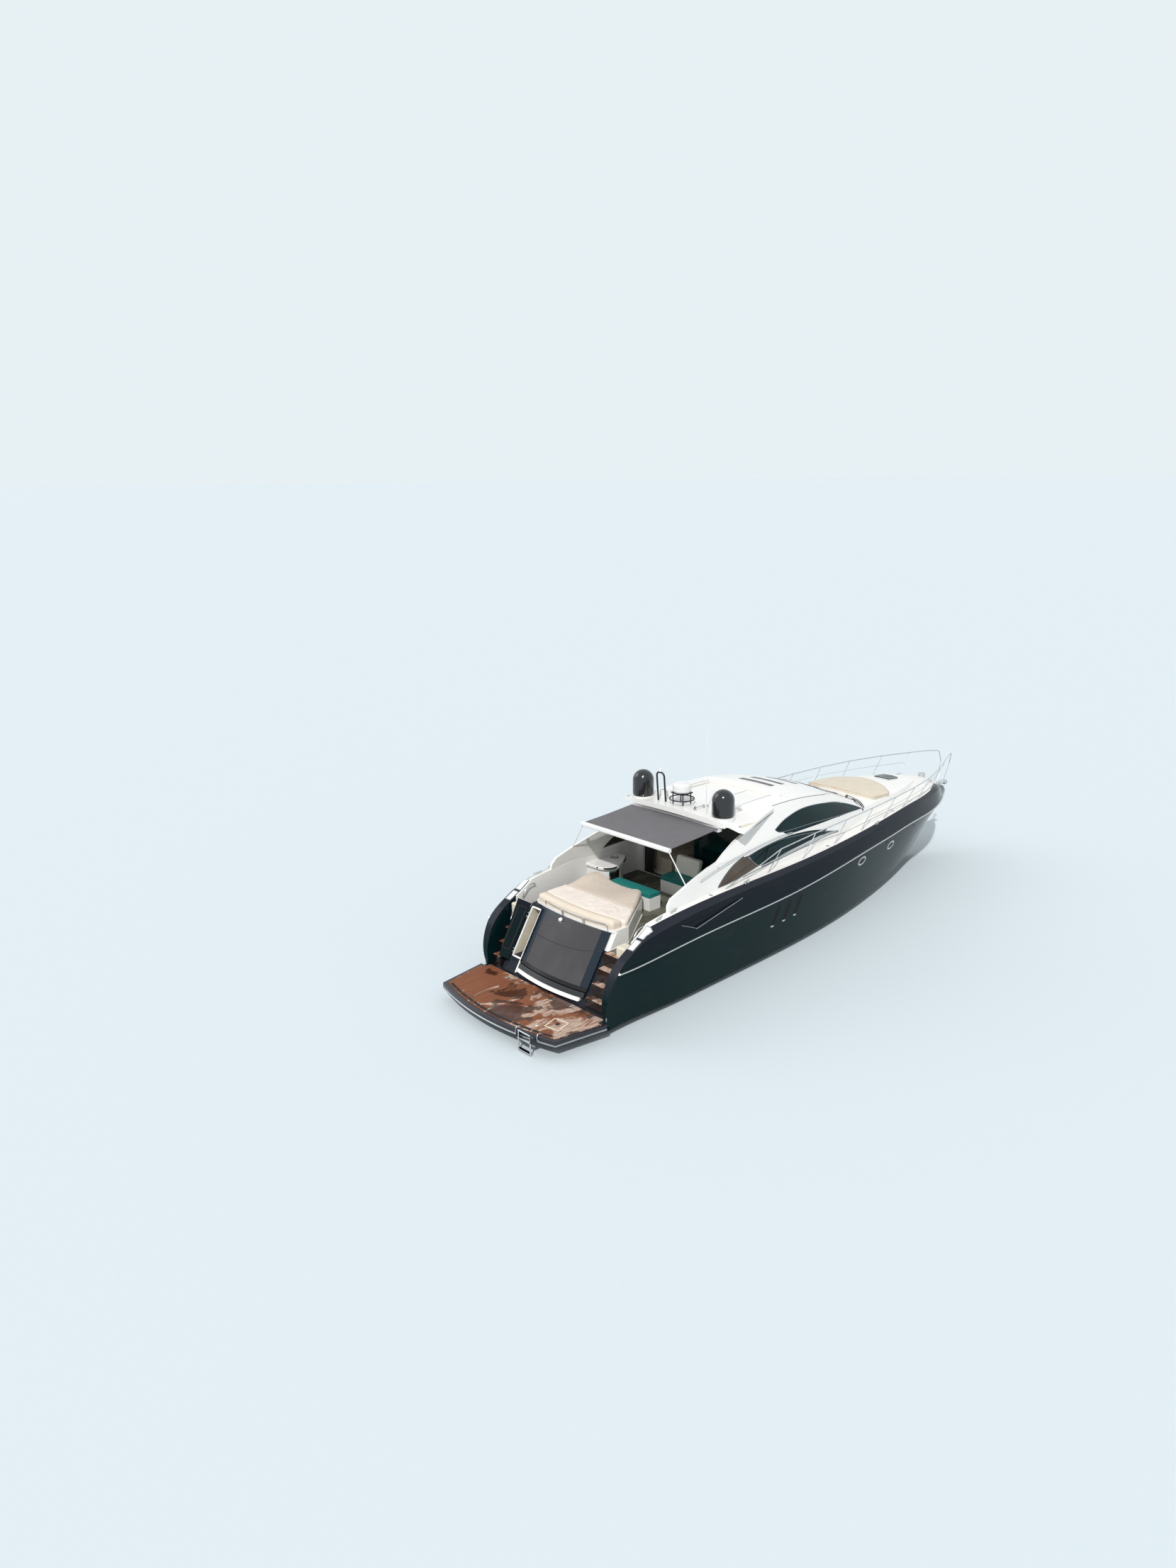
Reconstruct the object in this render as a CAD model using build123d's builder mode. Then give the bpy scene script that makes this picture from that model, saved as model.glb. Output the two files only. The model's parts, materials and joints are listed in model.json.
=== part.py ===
from build123d import *
import os
from math import cos, hypot, radians, sin

# Motor yacht with a hardtop, at its real size, afloat.
# Millimetres. +X is the bow, +Y is port, +Z is up.
# The origin is on the centreline and on the waterline, amidships.

os.makedirs("parts", exist_ok=True)

# Driving dimensions
far = 12000                 # longer than the boat, for cuts that go right through
seat_gap = 0.3              # a piece laid on its seat
run_gap = 10                # between a fixed piece and one that moves past it
wall = 60                   # moulded sides of the superstructure
roof = 130                  # hardtop, two skins with the sunroof's slot between them
glass = 22                  # laminated panes
liner = 40                  # cockpit and saloon lining
rail_r = 16                 # stainless rails

# Hull, from the transom to the stem
hull_stations = [
    # x, keel z, chine y, chine z, rub y, rub z, roll y, roll z, gunwale y, gunwale z
    (-8500, -740, 2130, 150, 2330, 1600, 2318, 1850, 2215, 1960),
    (-6500, -800, 2130, 150, 2352, 1640, 2338, 2240, 2200, 2400),
    (-4500, -860, 2120, 150, 2360, 1725, 2335, 2370, 2225, 2500),
    (-1500, -940, 2060, 170, 2360, 1820, 2300, 2390, 2195, 2500),
    (1200, -985, 1850, 200, 2235, 2000, 2155, 2440, 2055, 2540),
    (3600, -950, 1500, 330, 1935, 2050, 1890, 2500, 1810, 2600),
    (5500, -620, 1120, 520, 1645, 2050, 1595, 2500, 1510, 2600),
    (7000, -90, 720, 800, 1310, 1985, 1235, 2450, 1130, 2550),
    (8200, 640, 360, 1180, 880, 1930, 775, 2340, 640, 2430),
    (9000, 1010, 160, 1400, 500, 1880, 300, 2100, 70, 2150),
    (9600, 1620, 60, 1710, 190, 1855, 110, 1960, 30, 1985),
    (9860, 1815, 12, 1832, 28, 1850, 20, 1860, 12, 1868),
]

# Deck moulding on the hull's gunwale line
deck_stations = [
    # x, gunwale y, gunwale z, side deck's inner edge y and z, crown z
    (-8500, 2215, 1960, 2090, 1980, 2000),
    (-6500, 2200, 2400, 2085, 2430, 2460),
    (-4500, 2225, 2500, 2085, 2530, 2560),
    (-1500, 2195, 2500, 2010, 2530, 2570),
    (1200, 2055, 2540, 1830, 2575, 2640),
    (3600, 1810, 2600, 1560, 2640, 2740),
    (5500, 1510, 2600, 1240, 2650, 2780),
    (7000, 1130, 2550, 860, 2610, 2730),
    (8200, 640, 2430, 430, 2480, 2540),
    (9000, 70, 2150, 40, 2165, 2175),
]
deck_inset = 5              # the deck's edge stands this far inside the gunwale
deck_sink, deck_taper = 120, 60     # its skirt goes down into the hull, and inboard

# Superstructure: the sides, the hardtop and the windscreen's slope, and the trunk ahead of them
roof_stations = [
    # x, base y, shoulder y, shoulder z, roof edge y, roof edge z, crown z
    (-6450, 2095, 1975, 3150, 1600, 3970, 4070),
    (-4200, 2085, 1965, 3150, 1590, 3980, 4085),
    (-2600, 2050, 1925, 3160, 1570, 4000, 4105),
    (-1000, 2000, 1850, 3180, 1530, 4000, 4105),
    (500, 1885, 1715, 3150, 1420, 3810, 3925),
    (1800, 1720, 1530, 3050, 1280, 3410, 3530),
    (3000, 1520, 1340, 2900, 1170, 2975, 3090),
]
trunk_stations = [
    (2600, 1565, 1385, 2900, 1190, 2970, 3092),
    (3500, 1445, 1275, 2892, 1115, 2955, 3066),
    (4400, 1335, 1175, 2880, 1035, 2932, 3035),
    (5300, 1165, 1020, 2852, 890, 2895, 2985),
    (6100, 950, 810, 2805, 690, 2843, 2920),
    (6900, 620, 520, 2760, 430, 2790, 2835),
]
base_z = 2350               # the moulding's lower edge, before the deck trims it
cabin_front = 2950          # forward end of the hollow inside

# Cockpit and saloon well
sole_z = 1590
sole_top = sole_z + liner
well_y = 2060
bulkhead_x = -3100          # saloon's aft bulkhead
saloon_y = 1850
saloon_front = 1300
saloon_front_y = 1600
stern_x = -8500
quarter_line = [            # the hull's aft edge on both quarters, x and z
    (-8440, 440), (-8480, 930), (-8370, 1295), (-8110, 1670), (-7690, 1955), (-7050, 2340),
]
apron_x, apron_z = -8280, 420
panel_rake = 0.6265         # the transom slope: forward for each unit up

# Garage under the sunpad, and its lid
garage_y = 1150
garage_front = -5750
garage_floor = 715
lid_front = -5320
lid_hinge_x, lid_hinge_z = -5290, 1950
lid_hinge_y = (100, 1000)
lid_top = 2050
coaming = 150               # the sole's rim inside the lid's outline
lid_starboard, lid_port = -1340, 1500
lid_corner = (-6900, -5400, -330)   # the starboard side turns inboard at the first x, up to the second x and its y
panel_y = 1190
panel_top = 1985
panel_foot = garage_floor + 10
panel_bulge = 130           # the panel's middle stands this far aft of its sides
panel_thick = 60
pad_thick = 150

# Swim platform
platform_z = 450
platform_thick = 140
platform_front = -8330
platform_front_y = 2150
platform_aft_x = -9880
platform_aft_y = 2050
platform_tip = -10200
ear_x, ear_y = stern_x - 30, 120        # the platform's ears, aft of the topsides
teak_edge = 90
teak_thick = 12

# Running gear
prop_x, prop_y, prop_z = -7250, 780, -870
prop_r = 350
shaft_r = 32
shaft_angle = 9
shaft_long = 3000
shaft_clear = 0.1           # running fit in a bearing
stern_tube_clear = 2        # a shaft's room in the hull, ahead of its bearing
stern_tube_start = 1200     # how far ahead of the propeller a shaft's room begins
shaft_dir = Vector(cos(radians(shaft_angle)), 0, sin(radians(shaft_angle)))
rudder_x = -8010
stock_r, stock_top = 28, -180


def slope_x(z):
    """the transom slope at a height"""
    return apron_x + (z - apron_z) * panel_rake


slope_top_x = slope_x(sole_z)


def cross_section(x, outline, crown=None):
    """closed face across the boat from a port half, with an arc over the top if it has a crown"""
    port = [point for point in outline if point[0]]
    keel = [point for point in outline if not point[0]]
    starboard = [(-y, z) for y, z in reversed(port)]
    with BuildSketch(Plane.YZ.offset(x)) as face:
        with BuildLine():
            if crown is None:
                Polyline(*keel, *port, *starboard, close=True)
            else:
                Polyline(*starboard, *port)
                ThreePointArc(port[-1], (0, crown), starboard[0])
        make_face()
    return face.sketch


def bar_along(points, radius, bend=0):
    """round bar along a path, its corners bent to a radius"""
    with BuildPart() as bar:
        with BuildLine() as path:
            if bend:
                FilletPolyline(*points, radius=bend)
            else:
                Line(*points)
        with BuildSketch(Plane(origin=path.line @ 0, z_dir=path.line % 0)):
            Circle(radius)
        sweep()
    return bar.part


def side_prism(outline, y_low, y_high):
    """block from a side view outline, between two places across the boat"""
    with BuildPart() as prism:
        with BuildSketch(Plane.XZ.offset(-y_high)):
            with BuildLine():
                Polyline(*outline, close=True)
            make_face()
        extrude(amount=y_high - y_low)
    return prism.part


def plan_prism(outline, z_low, z_high):
    """block from a plan view outline, between two heights"""
    with BuildPart() as prism:
        with BuildSketch(Plane.XY.offset(z_low)):
            with BuildLine():
                Polyline(*outline, close=True)
            make_face()
        extrude(amount=z_high - z_low)
    return prism.part


def block(low, high):
    """plain block between two corners"""
    middle = [(a + b) / 2 for a, b in zip(low, high)]
    return Pos(*middle) * Box(*[b - a for a, b in zip(low, high)], mode=Mode.PRIVATE)


def finish(piece, name):
    """labels a piece and writes it"""
    piece.label = name
    export_step(piece, f"parts/{name}.step")


def shaft_line(side, start, end, radius):
    """round bar on a propeller shaft's axis, between two distances ahead of the propeller"""
    centre = Vector(prop_x, side * prop_y, prop_z)
    return bar_along([centre + shaft_dir * start, centre + shaft_dir * end], radius)


def beam_at(x, table, column):
    """a column of a station table at x, on straight lines between the stations"""
    for low, high in zip(table, table[1:]):
        if low[0] <= x <= high[0]:
            share = (x - low[0]) / (high[0] - low[0])
            return low[column] + share * (high[column] - low[column])
    return table[-1][column]


# Main mouldings, whole
hull_sections = [
    cross_section(x, [(0, keel_z), (chine_y, chine_z), (rub_y, rub_z), (roll_y, roll_z), (gun_y, gun_z)])
    for x, keel_z, chine_y, chine_z, rub_y, rub_z, roll_y, roll_z, gun_y, gun_z in hull_stations
]
with BuildPart() as hull_form:
    loft(sections=hull_sections)

deck_sections = [
    cross_section(
        x,
        [
            (max(gun_y - deck_taper, 5), gun_z - deck_sink), (gun_y - deck_inset, gun_z - deck_inset / 2),
            (side_y, side_z),
        ],
        crown_z,
    )
    for x, gun_y, gun_z, side_y, side_z, crown_z in deck_stations
]
with BuildPart() as deck_form:
    loft(sections=deck_sections)


def roof_sections(inset, inset_top, stations):
    """superstructure's sections, moved in from the outside by a wall"""
    return [
        cross_section(
            x,
            [(base_y - inset, base_z - inset), (mid_y - inset, mid_z), (edge_y - inset, edge_z - inset_top)],
            crown_z - inset_top,
        )
        for x, base_y, mid_y, mid_z, edge_y, edge_z, crown_z in stations
    ]


with BuildPart() as roof_form:
    loft(sections=roof_sections(0, 0, roof_stations))
    loft(sections=roof_sections(0, 0, trunk_stations))
with BuildPart() as roof_inside:
    loft(sections=roof_sections(wall, roof, roof_stations))
with BuildPart() as glass_inside:
    loft(sections=roof_sections(glass, glass, roof_stations))


with BuildPart() as stern_cut:
    with BuildSketch(Plane.XZ.offset(-far)):
        with BuildLine():
            Spline(*quarter_line)
            Polyline(
                quarter_line[-1], (quarter_line[-1][0] + 60, 3000), (stern_x - 300, 3000),
                (stern_x - 300, quarter_line[0][1]), quarter_line[0],
            )
        make_face()
    extrude(amount=2 * far)
stern_rake = stern_cut.part
cockpit_well = side_prism(
    [
        (stern_x - 200, apron_z), (apron_x, apron_z), (slope_top_x, sole_z), (bulkhead_x, sole_z),
        (bulkhead_x, 3200), (stern_x - 200, 3200),
    ],
    -well_y, well_y,
)
saloon_well = plan_prism(
    [
        (bulkhead_x - 10, -saloon_y), (saloon_front, -saloon_front_y),
        (saloon_front, saloon_front_y), (bulkhead_x - 10, saloon_y),
    ],
    sole_z, 3200,
)
transom_recess = block(
    (stern_x - 200, -platform_front_y, -2000), (platform_front, platform_front_y, platform_z + run_gap)
)
garage_hole = block((stern_x, -garage_y, garage_floor), (garage_front, garage_y, sole_z + 1))

# Scoop pressed into both topsides, ahead of the cockpit
scoop_outline = [(-6190, 2160), (-5640, 1930), (-3860, 2240)]
scoop_y = 2305


def lid_plan(inset):
    """outline of the lid seen from above, with its bowed aft edge and its turned starboard side"""
    turn_x, corner_x, corner_y = lid_corner
    edge = lid_aft + inset
    with BuildSketch() as plan:
        with BuildLine():
            Polyline(
                (edge, lid_starboard + inset), (turn_x, lid_starboard + inset), (corner_x, corner_y + inset),
                (lid_front - inset, corner_y + 180 + inset), (lid_front - inset, lid_port - inset),
                (edge, lid_port - inset),
            )
            ThreePointArc((edge, lid_port - inset), (edge - panel_bulge, 0), (edge, lid_starboard + inset))
        make_face()
        fillet(plan.vertices().filter_by(lambda v: v.X > turn_x + 10), radius=120)
        fillet(plan.vertices().filter_by(lambda v: abs(v.X - edge) < 1), radius=110)
    return plan.sketch


def on_plan(sketch, z, thick):
    """plate from a plan view sketch"""
    with BuildPart() as plate:
        extrude(sketch.moved(Location((0, 0, z))), amount=thick)
    return plate.part


lid_aft = slope_x(lid_top) - run_gap - panel_thick

# Crew hatch at port, beside the garage lid
hatch_inner_y, hatch_outer_y = 1250, 1560
hatch_low, hatch_high = 760, 1840
hatch_depth = 900
locker_y0, locker_y1, locker_top = panel_y + run_gap, 1640, 1925
hatch_hole = side_prism(
    [
        (slope_x(hatch_low) - 100, hatch_low), (slope_x(hatch_low) + hatch_depth, hatch_low),
        (slope_x(hatch_low) + hatch_depth, hatch_high), (slope_x(hatch_high) - 100, hatch_high),
    ],
    hatch_inner_y, hatch_outer_y,
)

# Engine room under the cockpit sole
engine_size = (1650, 850, 950)
engine_x, engine_y = -4300, 700
engine_floor, engine_room = 20, 80
room_long, room_wide = engine_size[0] / 2 + engine_room, engine_y + engine_size[1] / 2 + engine_room
engine_hole = block(
    (engine_x - room_long, -room_wide, engine_floor), (engine_x + room_long, room_wide, sole_z + 1)
)

with BuildPart() as hull:
    add(hull_form.part)
    add(stern_rake, mode=Mode.SUBTRACT)
    add(cockpit_well, mode=Mode.SUBTRACT)
    add(saloon_well, mode=Mode.SUBTRACT)
    add(transom_recess, mode=Mode.SUBTRACT)
    add(garage_hole, mode=Mode.SUBTRACT)
    add(hatch_hole, mode=Mode.SUBTRACT)
    add(engine_hole, mode=Mode.SUBTRACT)
    add(side_prism(scoop_outline, scoop_y, far), mode=Mode.SUBTRACT)
    add(side_prism(scoop_outline, -far, -scoop_y), mode=Mode.SUBTRACT)
    for side in (1, -1):
        add(shaft_line(side, stern_tube_start, shaft_long + 1, shaft_r + stern_tube_clear), mode=Mode.SUBTRACT)
        with Locations((rudder_x, side * prop_y, stock_top + 1)):
            Cylinder(
                stock_r + shaft_clear, 400, align=(Align.CENTER, Align.CENTER, Align.MAX), mode=Mode.SUBTRACT
            )
finish(hull.part, "hull")

with BuildPart() as engines:
    with Locations(*[(engine_x, side * engine_y, engine_floor + engine_size[2] / 2) for side in (-1, 1)]):
        Box(*engine_size)
finish(engines.part, "engines")

# Deck
inner_well = block((stern_x - 200, -well_y + liner, 1000), (bulkhead_x, well_y - liner, 3200))
inner_saloon = plan_prism(
    [
        (bulkhead_x - 10, -saloon_y + liner), (saloon_front - liner, -saloon_front_y + liner),
        (saloon_front - liner, saloon_front_y - liner), (bulkhead_x - 10, saloon_y - liner),
    ],
    sole_top, 3200,
)
with BuildPart() as deck:
    add(deck_form.part)
    add(stern_rake, mode=Mode.SUBTRACT)
    add(inner_well, mode=Mode.SUBTRACT)
    add(inner_saloon, mode=Mode.SUBTRACT)
    add(hull_form.part, mode=Mode.SUBTRACT)
deck_body = deck.part.solids().sort_by(SortBy.VOLUME)[-1]
finish(deck_body, "deck")

# Cockpit and saloon lining, a tub in the well
with BuildPart() as cockpit_liner:
    add(
        side_prism(
            [
                (slope_top_x, sole_z), (bulkhead_x, sole_z), (bulkhead_x, 3000),
                (slope_x(sole_top), 3000), (slope_x(sole_top), sole_top),
            ],
            -well_y, well_y,
        )
    )
    add(saloon_well)
    add(inner_saloon, mode=Mode.SUBTRACT)
    add(block((stern_x, -well_y + liner, sole_top), (bulkhead_x - liner, well_y - liner, 3200)), mode=Mode.SUBTRACT)
    add(
        block((bulkhead_x - liner - 1, -saloon_y + liner, sole_top), (bulkhead_x + 1, saloon_y - liner, 3200)),
        mode=Mode.SUBTRACT,
    )
    add(
        on_plan(lid_plan(coaming), sole_z - 1, liner + 2)
        & block((stern_x, -garage_y, 0), (garage_front, garage_y, 3000)),
        mode=Mode.SUBTRACT,
    )
    add(hatch_hole, mode=Mode.SUBTRACT)
    add(stern_rake, mode=Mode.SUBTRACT)
    add(hull_form.part, mode=Mode.INTERSECT)
finish(cockpit_liner.part, "cockpit_liner")

# Stern steps on both quarters
step_tops = [(platform_front, 710), (-8130, 1000), (-7930, 1315), (-7730, sole_top)]
port_steps_y = 1745         # clear of the open hatch leaf
step_outline = [(platform_front, apron_z)]
for (x, z), (next_x, _) in zip(step_tops, step_tops[1:] + [(slope_top_x, 0)]):
    step_outline += [(x, z), (next_x, z)]
step_outline += [(slope_top_x, sole_z), (apron_x, apron_z)]
with BuildPart() as stern_steps:
    add(side_prism(step_outline, -well_y, lid_starboard - run_gap))
    add(side_prism(step_outline, port_steps_y, well_y))
finish(stern_steps.part, "stern_steps")

# Fixed moulding at port that the sunpad overhangs, with the hatch in its aft face
with BuildPart() as transom_locker:
    add(
        side_prism(
            [(slope_x(sole_top), sole_top), (slope_x(locker_top), locker_top), (-7000, locker_top), (-7000, sole_top)],
            locker_y0, locker_y1,
        )
    )
    add(block((-7000, locker_y0, sole_top), (lid_front, lid_port - 20, locker_top)))
    add(hatch_hole, mode=Mode.SUBTRACT)
finish(transom_locker.part, "transom_locker")

# Hatch leaf, drawn shut and then swung open about the pins along its outboard edge
leaf_thick = 40
leaf_low, leaf_high = 640, 1900
leaf_open = 115
leaf_wide_top, leaf_wide_foot = 1215, 1330
hinge_y = hatch_outer_y + 40
hinge_out = 60              # the pins' distance from the slope
hinge_edge = 10             # from the leaf's edge to the pins
hinge_heights = (860, 1660)
pin_r, knuckle_r, knuckle_long = 8, 18, 70
lug_thick, lug_clear = 14, 1
lug_y0, lug_y1, lug_over = -4, 22, 8
slope_dir = Vector(panel_rake, 0, 1).normalized()
slope_normal = Vector(-1, 0, panel_rake).normalized()
slope_length = hypot(panel_rake, 1)
leaf_plane = Plane(
    origin=Vector(slope_x(0), 0, 0) + slope_normal * run_gap, x_dir=(0, -1, 0), z_dir=slope_normal
)


def hinge_plane(height, along=0):
    """plane across the hatch's pins at a height; x is outboard and y is away from the slope"""
    origin = Vector(slope_x(height), hinge_y, height) + slope_normal * hinge_out + slope_dir * along
    return Plane(origin=origin, x_dir=(0, 1, 0), z_dir=slope_dir)


with BuildPart() as leaf_shut:
    with BuildSketch(leaf_plane):
        with BuildLine():
            Polyline(
                (-leaf_wide_foot, leaf_low * slope_length), (hinge_edge - hinge_y, leaf_low * slope_length),
                (hinge_edge - hinge_y, leaf_high * slope_length), (-leaf_wide_top, leaf_high * slope_length),
                close=True,
            )
        make_face()
    extrude(amount=leaf_thick)
    for height in hinge_heights:
        with BuildSketch(hinge_plane(height, -knuckle_long / 2)):
            Circle(knuckle_r)
            Circle(pin_r + shaft_clear, mode=Mode.SUBTRACT)
        extrude(amount=knuckle_long)
leaf_hinge = Axis(hinge_plane(hinge_heights[0]).origin, slope_dir)
crew_hatch = leaf_shut.part.rotate(leaf_hinge, -leaf_open)
finish(crew_hatch, "crew_hatch")

lug_reach = knuckle_long / 2 + lug_clear
bench_x = -5150             # aft face of the bench that carries the lid's hinges


def cross_bar(x, y, z, half, radius):
    """round bar across the boat, its middle at a point"""
    return bar_along([(x, y - half, z), (x, y + half, z)], radius)


with BuildPart() as hatch_hinges:
    for height in hinge_heights:
        for start in (-lug_reach - lug_thick, lug_reach):
            with BuildSketch(hinge_plane(height, start)):
                with Locations(((lug_y0 + lug_y1) / 2, (lug_over - hinge_out) / 2)):
                    Rectangle(lug_y1 - lug_y0, lug_over + hinge_out)
            extrude(amount=lug_thick)
        with BuildSketch(hinge_plane(height, -lug_reach - lug_thick)):
            Circle(pin_r)
        extrude(amount=2 * (lug_reach + lug_thick))
    for y in lid_hinge_y:
        add(cross_bar(lid_hinge_x, y, lid_hinge_z, lug_reach + lug_thick, pin_r))
        for start in (y - lug_reach - lug_thick, y + lug_reach):
            add(
                block(
                    (lid_hinge_x - knuckle_r, start, lid_hinge_z - 40),
                    (bench_x - seat_gap, start + lug_thick, lid_hinge_z + knuckle_r),
                )
            )
finish(hatch_hinges.part, "hatch_hinges")

# Garage lid: the sloping transom panel, the moulding under the sunpad, the pad and its rails
def panel_plan(inner, outer):
    """curved strip in plan; inner and outer are how far it stands aft of the slope"""
    base = slope_x(panel_foot)
    with BuildSketch(Plane.XY.offset(panel_foot)) as strip:
        with BuildLine():
            ThreePointArc((base - outer, -panel_y), (base - outer - panel_bulge, 0), (base - outer, panel_y))
            Line((base - outer, panel_y), (base - inner, panel_y))
            ThreePointArc((base - inner, panel_y), (base - inner - panel_bulge, 0), (base - inner, -panel_y))
            Line((base - inner, -panel_y), (base - outer, -panel_y))
        make_face()
    return strip.sketch


with BuildPart() as transom_panel:
    extrude(
        panel_plan(run_gap, run_gap + panel_thick),
        amount=(panel_top - panel_foot) * slope_length,
        dir=(panel_rake, 0, 1),
    )
finish(transom_panel.part, "transom_panel")

skirt = 40
lid_foot = sole_top + seat_gap
wall_x = slope_x(lid_foot) + 400
wall_top = panel_top + 6
with BuildPart() as sunpad_base:
    add(on_plan(lid_plan(0), panel_top + seat_gap, lid_top - panel_top - seat_gap))
    add(
        on_plan(lid_plan(0) - lid_plan(skirt), lid_foot, wall_top - lid_foot)
        & block((wall_x - 1, -far, 0), (far, panel_y, 3000))
    )
    for y0, y1 in ((lid_starboard, lid_starboard + skirt), (panel_y - skirt, panel_y)):
        add(
            side_prism(
                [(slope_x(lid_foot), lid_foot), (wall_x, lid_foot), (wall_x, wall_top), (slope_x(panel_top), wall_top)],
                y0, y1,
            )
        )
    add(
        side_prism(
            [
                (slope_x(lid_foot), lid_foot), (slope_x(lid_foot) + skirt, lid_foot),
                (slope_x(panel_top) + skirt, wall_top), (slope_x(panel_top), wall_top),
            ],
            lid_starboard, -panel_y + skirt,
        )
    )
    add(block((wall_x - 1, panel_y - skirt, lid_foot), (lid_front, panel_y, wall_top)))
    for y in lid_hinge_y:
        add(
            block(
                (lid_front - 20, y - knuckle_long / 2, lid_hinge_z - 12),
                (lid_hinge_x, y + knuckle_long / 2, lid_hinge_z + 12),
            )
        )
        add(cross_bar(lid_hinge_x, y, lid_hinge_z, knuckle_long / 2, knuckle_r))
        add(cross_bar(lid_hinge_x, y, lid_hinge_z, knuckle_long, pin_r + shaft_clear), mode=Mode.SUBTRACT)
finish(sunpad_base.part, "sunpad_base")

# The pad, with a raised bolster along its aft edge
pad_inset, bolster_edge = 25, 30
bolster_wide, bolster_high, bolster_end = 300, 55, 90
with BuildPart() as cockpit_sunpad:
    add(on_plan(lid_plan(pad_inset), lid_top + seat_gap, pad_thick))
    aft_edge = lid_aft + pad_inset + bolster_edge
    with BuildSketch(Plane.XY.offset(lid_top + pad_thick)):
        with BuildLine():
            ThreePointArc(
                (aft_edge, lid_port - bolster_end), (aft_edge - panel_bulge, 0),
                (aft_edge, lid_starboard + bolster_end),
            )
            Line((aft_edge, lid_starboard + bolster_end), (aft_edge + bolster_wide, lid_starboard + bolster_end))
            ThreePointArc(
                (aft_edge + bolster_wide, lid_starboard + bolster_end), (aft_edge + bolster_wide - panel_bulge, 0),
                (aft_edge + bolster_wide, lid_port - bolster_end),
            )
            Line((aft_edge + bolster_wide, lid_port - bolster_end), (aft_edge, lid_port - bolster_end))
        make_face()
    extrude(amount=bolster_high)
finish(cockpit_sunpad.part, "cockpit_sunpad")

# Swim platform and its teak
def platform_outline(inset):
    with BuildSketch() as plan:
        with BuildLine():
            front = platform_front - seat_gap - inset
            Polyline(
                (platform_aft_x + inset, -platform_aft_y + inset), (ear_x - inset, -platform_front_y - ear_y + inset),
                (ear_x - inset, -platform_front_y + run_gap + inset), (front, -platform_front_y + run_gap + inset),
                (front, platform_front_y - run_gap - inset), (ear_x - inset, platform_front_y - run_gap - inset),
                (ear_x - inset, platform_front_y + ear_y - inset), (platform_aft_x + inset, platform_aft_y - inset),
            )
            ThreePointArc(
                (platform_aft_x + inset, platform_aft_y - inset), (platform_tip + inset, 0),
                (platform_aft_x + inset, -platform_aft_y + inset),
            )
        make_face()
    return plan.sketch


ladder_y, ladder_half, lug_out = -1350, 200, 70
ladder_x, ladder_pivot_z = -10170, 500
lug = 30
arm_y, arm_wide, arm_foot, arm_long = 950, 120, 60, 1100
with BuildPart() as swim_platform:
    for side in (-1, 1):
        add(
            side_prism(
                [
                    (platform_front - seat_gap, arm_foot), (platform_front - seat_gap, platform_z - teak_thick - 20),
                    (platform_front - arm_long, platform_z - teak_thick - 20),
                    (platform_front - arm_long, platform_z - teak_thick - platform_thick - 30),
                ],
                side * arm_y - arm_wide / 2, side * arm_y + arm_wide / 2,
            )
        )
    add(on_plan(platform_outline(0), platform_z - teak_thick - platform_thick, platform_thick))
    for side in (-1, 1):
        lug_y = ladder_y + side * (ladder_half + lug_out / 2 + 5)
        add(
            block(
                (ladder_x - lug, lug_y - lug / 2, platform_z - 110),
                (ladder_x + 210, lug_y + lug / 2, platform_z - teak_thick),
            )
        )
        add(
            block(
                (ladder_x - lug, lug_y - lug / 2, platform_z - teak_thick - 1),
                (ladder_x + lug, lug_y + lug / 2, ladder_pivot_z + lug),
            )
        )
    add(
        bar_along(
            [(ladder_x, ladder_y - 600, ladder_pivot_z), (ladder_x, ladder_y + 600, ladder_pivot_z)],
            rail_r + shaft_clear,
        ),
        mode=Mode.SUBTRACT,
    )
finish(swim_platform.part, "swim_platform")

finish(on_plan(platform_outline(teak_edge), platform_z - teak_thick, teak_thick), "platform_teak")

# Superstructure
slab_z = 3840               # the hardtop's underside at its edge
wing_line = [
    # x, z: the side wings' aft edge, from under the hardtop down to the coamings
    (-1830, slab_z), (-2150, 3770), (-2680, 3660), (-3030, 3615), (-3640, 3470), (-4130, 3310), (-4450, 3190),
    (-4820, 3135), (-5330, 3005), (-5630, 2920), (-6200, 2740), (-6330, 2600), (-6370, 2300),
]
aft_cut = [*wing_line, (-6600, 2300), (-6600, slab_z)]
slab_end_x, slab_end_y, slab_bow = -3850, 1700, 200
ridge_x, ridge_bow, ridge_wide, ridge_high, ridge_over = -1215, 110, 130, 60, 250
deck_hatch_x, deck_hatch_half, deck_hatch_lap = 6150, 260, 45


def side_window(outline_aft, arc_mid, outline):
    """side view face with an arched top"""
    with BuildSketch(Plane.XZ) as face:
        with BuildLine():
            ThreePointArc(outline_aft, arc_mid, outline[0])
            Polyline(*outline, outline_aft)
        make_face()
    return face.sketch


upper_outline = ((-1750, 3330), (-250, 3590), [(1440, 3370), (2450, 2960), (760, 3090), (-580, 3160), (-1550, 3200)])
lower_outline = ((-3300, 3060), (-1700, 3170), [(400, 2880), (-130, 2860), (-860, 2800), (-2790, 2700)])
quarter_outline = ((-4540, 2600), (-4120, 2880), [(-3460, 3100), (-2990, 2760), (-3530, 2640)])
window_y = 1000


def window_prism(outline):
    """window's shape across both sides"""
    with BuildPart() as prism:
        for side in (1, -1):
            with BuildSketch(Plane.XZ.offset(-side * window_y)):
                add(side_window(*outline))
            extrude(amount=-side * 1500)
    return prism.part


screen_panes = [
    # y from, y to, at the top edge and at the foot
    (-1060, -1090, -390, -400),
    (-350, -360, 350, 360),
    (390, 400, 1060, 1090),
]
screen_top_x, screen_foot_x = 1180, 2880


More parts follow.
